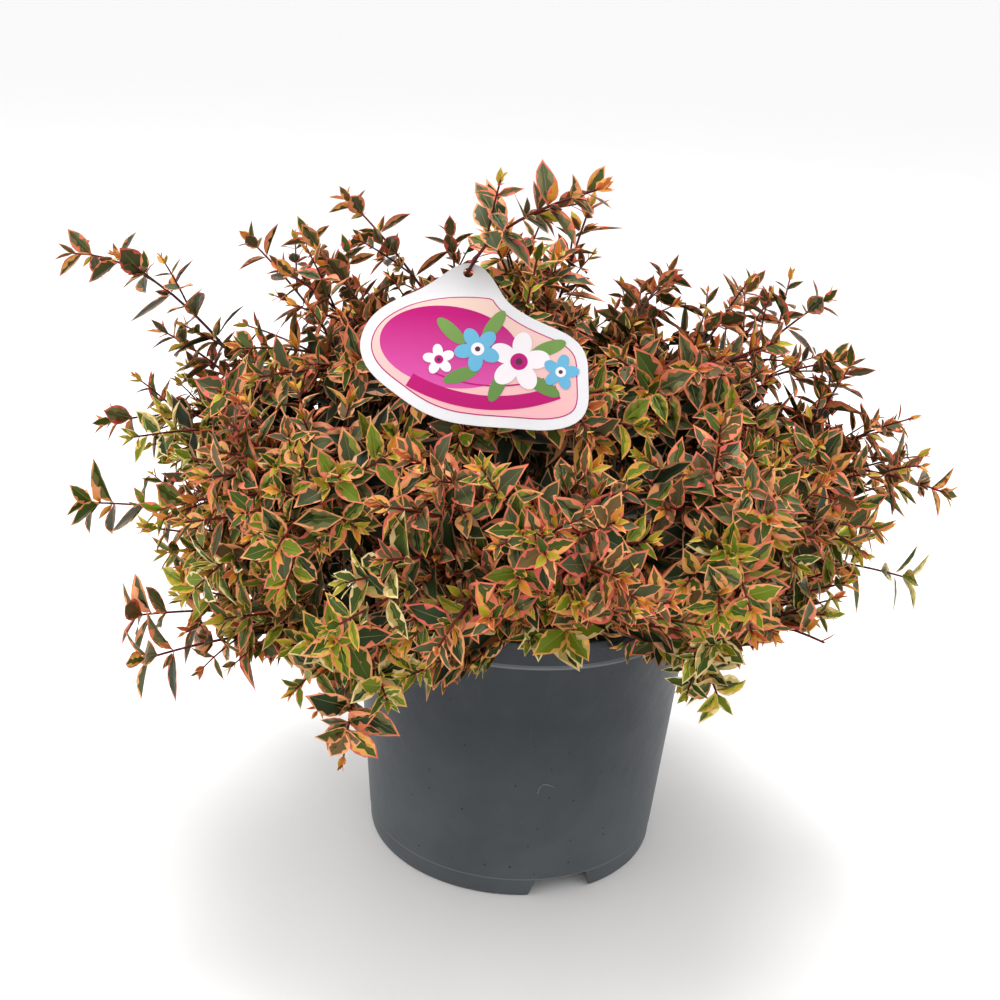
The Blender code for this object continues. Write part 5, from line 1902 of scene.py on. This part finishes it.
    def grow_label_shoot(self, grower: Grower, mass: Mass) -> None:
        """Grow the shoot that comes up behind the card, through its hole, and leans over.

        Args:
            grower: The mass's grower.
            mass: The mass.
        """
        lean = self.label_lean.normalized()
        up = self.label.matrix().to_3x3() @ Vector((0.0, 1.0, 0.0))
        through = self.label.hole + up * (self.label.hole_radius - self.twig_radius * 1.2 - 0.0002)
        before, after = through - lean * 0.008, through + lean * 0.008
        lower = arc(mass.heart, self.label_bend, before, 8)
        upper = arc(after, after + lean * 0.020, self.label_tip, 9)
        path = lower + upper
        radii = [self.twig_radius * (1.2 - 0.035 * i) for i in range(len(path))]
        grower.twigs.add(path, radii, [1] * 8 + [0] * (len(path) - 9), 6)
        gaps = [0.0, 0.002, 0.006, 0.013, 0.023, 0.034, 0.046]
        grower.dress(upper, gaps, Spray.CORAL, 1.0, 1.0, 0.0, self.rule.long_inner_from)
        for k in (5, 9, 12):
            self.grow_side_twig(grower, path[k], (path[k + 1] - path[k]).normalized(), Spray.CORAL)

    def grow_limb(self, grower: Grower, mass: Mass) -> None:
        """Carry a bough on from its end to the mass's heart."""
        path = [mass.entry.lerp(mass.heart, i / 3.0) for i in range(4)]
        radii = [self.bough_tip * (1.0 - 0.07 * i) for i in range(4)]
        grower.twigs.add(path, radii, [2, 2, 2], 6)

    def part_of(self, mass: Mass) -> str:
        """Name of the joined part of the crown that a mass belongs to."""
        if mass.ring in (Ring.HIGH, Ring.TOP):
            return "high_front" if mass.own.y < 0.1 else "high_back"
        side = "back" if mass.own.y > 0.3 else "left" if mass.own.x < -0.2 else "right" if mass.own.x > 0.2 else "front"
        return f"{mass.ring.name.lower()}_{side}"

    def build(self) -> None:
        """Grow every mass and hand the joined pieces over."""
        heaps: dict[str, tuple[LeafHeap, TwigHeap, list[str]]] = {}
        growers: list[Grower] = []
        tips = self.body_tips()
        for number, mass in enumerate(self.masses):
            key = self.part_of(mass)
            leaves, twigs, nodes = heaps.setdefault(key, (LeafHeap(self.templates), TwigHeap(), []))
            nodes.append(mass.node)
            grower = Grower(self.rule, self.form, self.label, leaves, twigs, self.rule.seed * 100 + number)
            growers.append(grower)
            self.grow_limb(grower, mass)
            if mass.name == self.label_mass:
                self.grow_label_shoot(grower, mass)
            for name, azimuth, reach, height, arch, spray in LONG_SHOOTS:
                if name == mass.name:
                    low = mass.ring is Ring.LOW
                    grower.below_hem = self.low_hang if low else 0.0
                    self.grow_long_shoot(grower, mass, azimuth, reach, height, arch, spray, *(self.low_leaf if low else self.long_leaf))
                    grower.below_hem = 0.0
            self.grow_branches(grower, mass, [tip for owner, tip in tips if owner == number])
        self.grow_inner_shoots(growers)
        self.grow_stray_shoots(growers)
        for key, (leaves, twigs, nodes) in heaps.items():
            hand_over(leaves.mesh(f"leaves_{key}"), tuple(nodes))
            hand_over(twigs.mesh(f"twigs_{key}"), tuple(nodes))


@dataclass
class WoodyLimbs:
    """Short stem and the boughs that lead from it to the masses, with the bark's relief."""

    form: CrownForm
    foot_radius: float = 0.0088
    radius: float = 0.0068
    foot: float = 0.1448
    top: float = 0.1740
    bough_radius: float = 0.0021
    tip_radius: float = 0.0014
    levels: dict[Ring, float] = field(default_factory=lambda: {Ring.LOW: 0.1515, Ring.MID: 0.1600, Ring.HIGH: 0.1670})
    ease: float = 0.45
    sides: int = 10
    steps: int = 12
    ridge: float = 0.00022

    def path(self, mass: Mass) -> list[Vector]:
        """Arc of a bough.

        Args:
            mass: The mass that it leads to.

        Returns:
            Points from the stem to the mass's entry.
        """
        if mass.ring is Ring.TOP:
            start = Vector((0.0, 0.0, self.top - 0.001))
            return arc(start, start.lerp(mass.entry, 0.5), mass.entry, self.steps)
        azimuth = math.degrees(math.atan2(mass.axis.y, mass.axis.x))
        start = polar(azimuth, self.radius - 0.001, self.levels[mass.ring])
        control = mass.entry - mass.axis * ((mass.entry - start).length * self.ease)
        return arc(start, control, mass.entry, self.steps)

    def ridged(self, piece: bpy.types.Object, axis: bool) -> None:
        """Raise the bark's long ridges.

        Args:
            piece: The limb.
            axis: Whether it stands on the pot's axis.
        """
        stretch = Vector((700.0, 700.0, 90.0)) if axis else Vector((500.0, 500.0, 220.0))
        normals = [vertex.normal.copy() for vertex in piece.data.vertices]
        for vertex, normal in zip(piece.data.vertices, normals):
            spot = Vector((vertex.co.x * stretch.x, vertex.co.y * stretch.y, vertex.co.z * stretch.z))
            vertex.co += normal * (self.ridge * noise.noise(spot))

    def build(self, masses: list[Mass], effects: Effects) -> None:
        """Make the stem and boughs and hand them over.

        Args:
            masses: The masses that the boughs lead to.
            effects: The shared groups.
        """
        bark = ThinBark().material(effects)
        rows = 10
        upper, lower = self.top - 0.0060, self.foot + 0.0052
        profile = [(0.0, self.top), (self.radius * 0.62, self.top), (self.radius * 0.92, self.top - 0.0022)]
        profile += [(self.radius, upper + (lower - upper) * i / rows) for i in range(rows + 1)]
        profile += [(self.radius * 1.12, self.foot + 0.0020), (self.foot_radius, self.foot), (0.0, self.foot)]
        stem = spun("stem", profile, 40)
        self.ridged(stem, True)
        smooth(stem, 50.0)
        stem.data.materials.append(bark)
        hand_over(stem, ("stem_base",))
        limbs = [drawn(f"limb_{mass.name}", self.path(mass), self.bough_radius, self.tip_radius, self.sides)
                 for mass in masses]
        boughs = joined("boughs", limbs)
        self.ridged(boughs, False)
        smooth(boughs, 60.0)
        boughs.data.materials.append(bark)
        hand_over(boughs, tuple(f"bough_{mass.name}" for mass in masses))


@dataclass
class HangLabel:
    """Plastic card with a plain printed design of blossom, threaded on a shoot."""

    place: LabelPlace
    border: float = 0.0046
    line: float = 0.0005
    panel_radii: tuple[float, float] = (0.0480, 0.0262)
    layer: float = 0.00005

    def outline(self) -> np.ndarray:
        """Outline of the card in its own plane, one point a row."""
        radii = np.array(self.place.radii)
        turns = np.arange(len(radii)) * (math.tau / len(radii))
        return np.stack([radii * np.cos(turns), radii * np.sin(turns)], 1)

    def inner_outline(self, inset: float) -> np.ndarray:
        """Outline of the printed panel, which leaves the tab bare.

        Args:
            inset: How far inside the card's edge.

        Returns:
            One point a row, in the card's own plane.
        """
        points = self.outline()
        along = np.roll(points, -1, 0) - np.roll(points, 1, 0)
        along /= np.linalg.norm(along, axis=1)[:, None]
        inner = points + np.stack([-along[:, 1], along[:, 0]], 1) * inset
        turns = np.arctan2(inner[:, 1], inner[:, 0])
        wide, high = self.panel_radii
        oval = 1.0 / np.sqrt((np.cos(turns) / wide) ** 2 + (np.sin(turns) / high) ** 2) - inset + self.border
        upper = inner[:, 1] > 0.0
        radii = np.linalg.norm(inner, axis=1)
        held = np.where(upper, np.minimum(radii, oval), radii)
        return np.stack([held * np.cos(turns), held * np.sin(turns)], 1)

    def shaped(self, name: str, points: np.ndarray, level: float) -> bpy.types.Object:
        """Flat sheet with an outline.

        Args:
            name: Name of the sheet.
            points: Points round it.
            level: Height over the card's middle plane.

        Returns:
            The sheet.
        """
        drop_selection()
        bpy.ops.mesh.primitive_circle_add(vertices=len(points), radius=0.03, fill_type="NGON")
        sheet = take_up(name)
        for vertex, (x, y) in zip(sheet.data.vertices, points.tolist()):
            vertex.co = (x, y, level)
        return sheet

    def card(self, effects: Effects) -> bpy.types.Object:
        """The card, with its hole.

        Args:
            effects: The shared groups.

        Returns:
            The card in its own plane.
        """
        place = self.place
        card = self.shaped("label_card", self.outline(), -place.thickness * 0.5)
        edit(card)
        bpy.ops.mesh.extrude_region_move(TRANSFORM_OT_translate={"value": (0.0, 0.0, place.thickness)})
        bpy.ops.mesh.select_all(action="SELECT")
        bpy.ops.mesh.normals_make_consistent(inside=False)
        bpy.ops.object.mode_set(mode="OBJECT")
        drop_selection()
        spot = (place.hole_side, place.hole_drop, 0.0)
        bpy.ops.mesh.primitive_cylinder_add(vertices=40, radius=place.hole_radius, depth=0.01, location=spot)
        cutter = take_up("hole_cutter")
        settle(cutter)
        cut_away(card, cutter)
        smooth(card, 30.0)
        card.data.materials.append(CoatedCard().material(effects))
        return card

    def blossom(self, centre: tuple[float, float], size: float, turn: float, level: float,
                looks: tuple[bpy.types.Material, ...]) -> list[bpy.types.Object]:
        """A plain five-petalled blossom.

        Args:
            centre: Its middle.
            size: Length of a petal.
            turn: Angle of its first petal in degrees.
            level: Height of the petals over the card's middle plane.
            looks: Inks of the petals, of the throat and of its middle.

        Returns:
            Its petals and throat.
        """
        made = []
        for k in range(5):
            angle = turn + 72.0 * k
            ray = Vector((math.cos(math.radians(angle)), math.sin(math.radians(angle))))
            middle = Vector(centre) + ray * (size * 0.60)
            petal = flat_disc("petal", tuple(middle), (size * 0.46, size * 0.33), angle, 24, level + self.layer * 0.1 * k)
            petal.data.materials.append(looks[0])
            made.append(petal)
        for share, look, step in ((0.30, looks[1], 1.0), (0.12, looks[2], 2.0)):
            disc = flat_disc("throat", centre, (size * share, size * share), 0.0, 20, level + self.layer * step)
            disc.data.materials.append(look)
            made.append(disc)
        return made

    def band(self, name: str, centre: tuple[float, float], radius: float, width: float, start: float, sweep: float,
             level: float) -> bpy.types.Object:
        """Curved band, spun from a short edge.

        Args:
            name: Name of the band.
            centre: Middle of its circle.
            radius: Inner radius.
            width: Width of the band.
            start: Angle where it starts, in degrees.
            sweep: Angle that it covers, in degrees.
            level: Height over the card's middle plane.

        Returns:
            The band.
        """
        drop_selection()
        bpy.ops.mesh.primitive_plane_add(size=0.01)
        band = take_up(name)
        edit(band)
        bpy.ops.mesh.merge(type="CENTER")
        bpy.ops.transform.translate(value=(radius, 0.0, 0.0))
        bpy.ops.mesh.extrude_vertices_move(TRANSFORM_OT_translate={"value": (width, 0.0, 0.0)})
        bpy.ops.mesh.select_all(action="SELECT")
        bpy.ops.mesh.spin(steps=40, angle=math.radians(sweep), center=(0.0, 0.0, 0.0), axis=(0.0, 0.0, 1.0))
        bpy.ops.object.mode_set(mode="OBJECT")
        turns = [math.atan2(vertex.co.y, vertex.co.x) for vertex in band.data.vertices]
        turn = Matrix.Rotation(math.radians(start) - min(turns), 4, "Z")
        band.matrix_world = Matrix.Translation((centre[0], centre[1], level)) @ turn
        settle(band)
        return band

    def print_layers(self, effects: Effects) -> bpy.types.Object:
        """The printed design: a rimmed pale panel, a magenta oval and bow, and blossoms with leaves.

        Args:
            effects: The shared groups.

        Returns:
            The printed sheets, joined.
        """
        low, high = 0.268, 0.322
        ink = {
            "rim": PrintedInk("ink_rim", shade(172, 12, 104), shade(184, 26, 120), low, high),
            "panel": PrintedInk("ink_panel", shade(230, 168, 176), shade(226, 200, 184), low, high),
            "oval": PrintedInk("ink_oval", shade(212, 92, 170), shade(178, 10, 110), 0.276, 0.312),
            "bow": PrintedInk("ink_bow", shade(172, 8, 100), shade(188, 20, 118), low, high),
            "blue": PrintedInk("ink_blue", shade(88, 160, 198), shade(110, 178, 210), low, high),
            "white": PrintedInk("ink_white", shade(230, 220, 224), shade(232, 228, 232), low, high),
            "green": PrintedInk("ink_green", shade(84, 122, 62), shade(120, 154, 80), low, high),
            "dark": PrintedInk("ink_dark", shade(70, 40, 62), shade(84, 50, 72), low, high),
        }
        looks = {name: finish.material(effects) for name, finish in ink.items()}
        level = self.place.thickness * 0.5 + self.layer
        parts: list[bpy.types.Object] = []

        def lay(sheet: bpy.types.Object, look: str) -> None:
            """Give a sheet its ink."""
            sheet.data.materials.append(looks[look])
            parts.append(sheet)

        lay(self.shaped("rim", self.inner_outline(self.border), level), "rim")
        lay(self.shaped("panel", self.inner_outline(self.border + self.line), level + self.layer), "panel")
        lay(flat_disc("oval", (-0.012, 0.003), (0.0300, 0.0180), -4.0, 64, level + 2.0 * self.layer), "oval")
        lay(self.band("bow", (0.004, 0.052), 0.0690, 0.0062, 244.0, 52.0, level + 3.0 * self.layer), "bow")
        lay(self.band("thread", (0.004, 0.052), 0.0643, 0.0007, 248.0, 45.0, level + 3.0 * self.layer), "bow")
        for x, y, turn in ((0.006, 0.014, 60.0), (0.030, 0.006, 25.0), (0.029, -0.011, -25.0), (-0.006, -0.009, 205.0),
                           (0.010, -0.012, 250.0), (-0.012, 0.010, 140.0)):
            lay(flat_disc("leaf", (x, y), (0.0080, 0.0030), turn, 20, level + 4.0 * self.layer), "green")
        parts += self.blossom((0.018, -0.001), 0.0125, 12.0, level + 6.0 * self.layer, (looks["white"], looks["rim"], looks["dark"]))
        parts += self.blossom((0.000, 0.003), 0.0095, 50.0, level + 6.0 * self.layer, (looks["blue"], looks["white"], looks["dark"]))
        parts += self.blossom((0.036, -0.004), 0.0075, 80.0, level + 6.0 * self.layer, (looks["blue"], looks["white"], looks["dark"]))
        parts += self.blossom((-0.016, -0.003), 0.0065, 30.0, level + 6.0 * self.layer, (looks["white"], looks["rim"], looks["dark"]))
        return joined("label_print", parts)

    def build(self, effects: Effects) -> None:
        """Make the card and its print, lean them on the foliage and hand them over.

        Args:
            effects: The shared groups.
        """
        card, ink = self.card(effects), self.print_layers(effects)
        for piece in (card, ink):
            piece.matrix_world = self.place.matrix()
            settle(piece)
        hand_over(card, ("label",))
        hand_over(ink)


@dataclass
class Studio:
    """Plain pale floor, soft light and the camera at the photograph's angle."""

    camera_place: tuple[float, float, float] = (-0.0157, -0.6874, 0.4532)
    lens: float = 50.4
    pitch: float = 20.96
    roll: float = 3.34
    world_light: float = 0.98

    def lamp(self, name: str, place: tuple[float, float, float], size: float, power: float, colour: Colour) -> None:
        """Hang a soft lamp that looks at the crown.

        Args:
            name: Name of the lamp.
            place: Where it hangs.
            size: Width of its square.
            power: Watts.
            colour: Colour of its light.
        """
        data = bpy.data.lights.new(name, "AREA")
        data.shape, data.size, data.energy, data.color = "SQUARE", size, power, colour
        lamp = bpy.data.objects.new(name, data)
        lamp.location = place
        lamp.rotation_euler = (Vector((0.0, 0.0, 0.2)) - Vector(place)).to_track_quat("-Z", "Y").to_euler()
        bpy.context.scene.collection.objects.link(lamp)

    def floor(self, effects: Effects) -> None:
        """Lay the floor.

        Args:
            effects: The shared groups.
        """
        drop_selection()
        bpy.ops.mesh.primitive_plane_add(size=400.0, location=(0.0, 0.0, -0.0003))
        floor = take_up("floor")
        recipe = Recipe("floor_look", 0.9)
        mottle = recipe.effect(effects.grain, Scale=9.0, Detail=3.0).outputs[0]
        recipe.colour(recipe.blend(mottle, shade(250, 250, 250), shade(253, 253, 253)))
        floor.data.materials.append(recipe.material)

    def build(self, effects: Effects) -> None:
        """Set up floor, lights and camera.

        Args:
            effects: The shared groups.
        """
        self.floor(effects)
        scene = bpy.context.scene
        scene.view_settings.view_transform = "Standard"
        world = bpy.data.worlds.new("studio")
        world.use_nodes = True
        sky = world.node_tree.nodes["Background"]
        sky.inputs["Color"].default_value = (1.0, 1.0, 1.0, 1.0)
        sky.inputs["Strength"].default_value = self.world_light
        scene.world = world
        self.lamp("key", (-1.4, -0.5, 1.15), 1.1, 7.5, (1.0, 0.98, 0.95))
        self.lamp("fill", (1.1, -0.4, 1.5), 1.2, 0.8, (1.0, 0.99, 0.97))
        self.lamp("top", (0.0, 0.3, 1.7), 1.0, 25.0, (1.0, 1.0, 1.0))
        data = bpy.data.cameras.new("view")
        data.lens = self.lens
        camera = bpy.data.objects.new("view", data)
        tilt = Matrix.Rotation(math.radians(90.0 - self.pitch), 4, "X")
        spin = Matrix.Rotation(math.radians(self.roll), 4, "Z")
        camera.matrix_world = Matrix.Translation(self.camera_place) @ tilt @ spin
        scene.collection.objects.link(camera)
        scene.camera = camera


def main() -> None:
    """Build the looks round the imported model."""
    logging.basicConfig(level=logging.INFO, format="%(message)s")
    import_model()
    effects = Effects()
    form, label = CrownForm(), LabelPlace()
    NurseryPot().build(effects)
    Compost().build(effects)
    foliage = Foliage(form, label)
    WoodyLimbs(form).build(foliage.masses, effects)
    foliage.build()
    HangLabel(label).build(effects)
    Studio().build(effects)


if __name__ == "__main__":
    main()
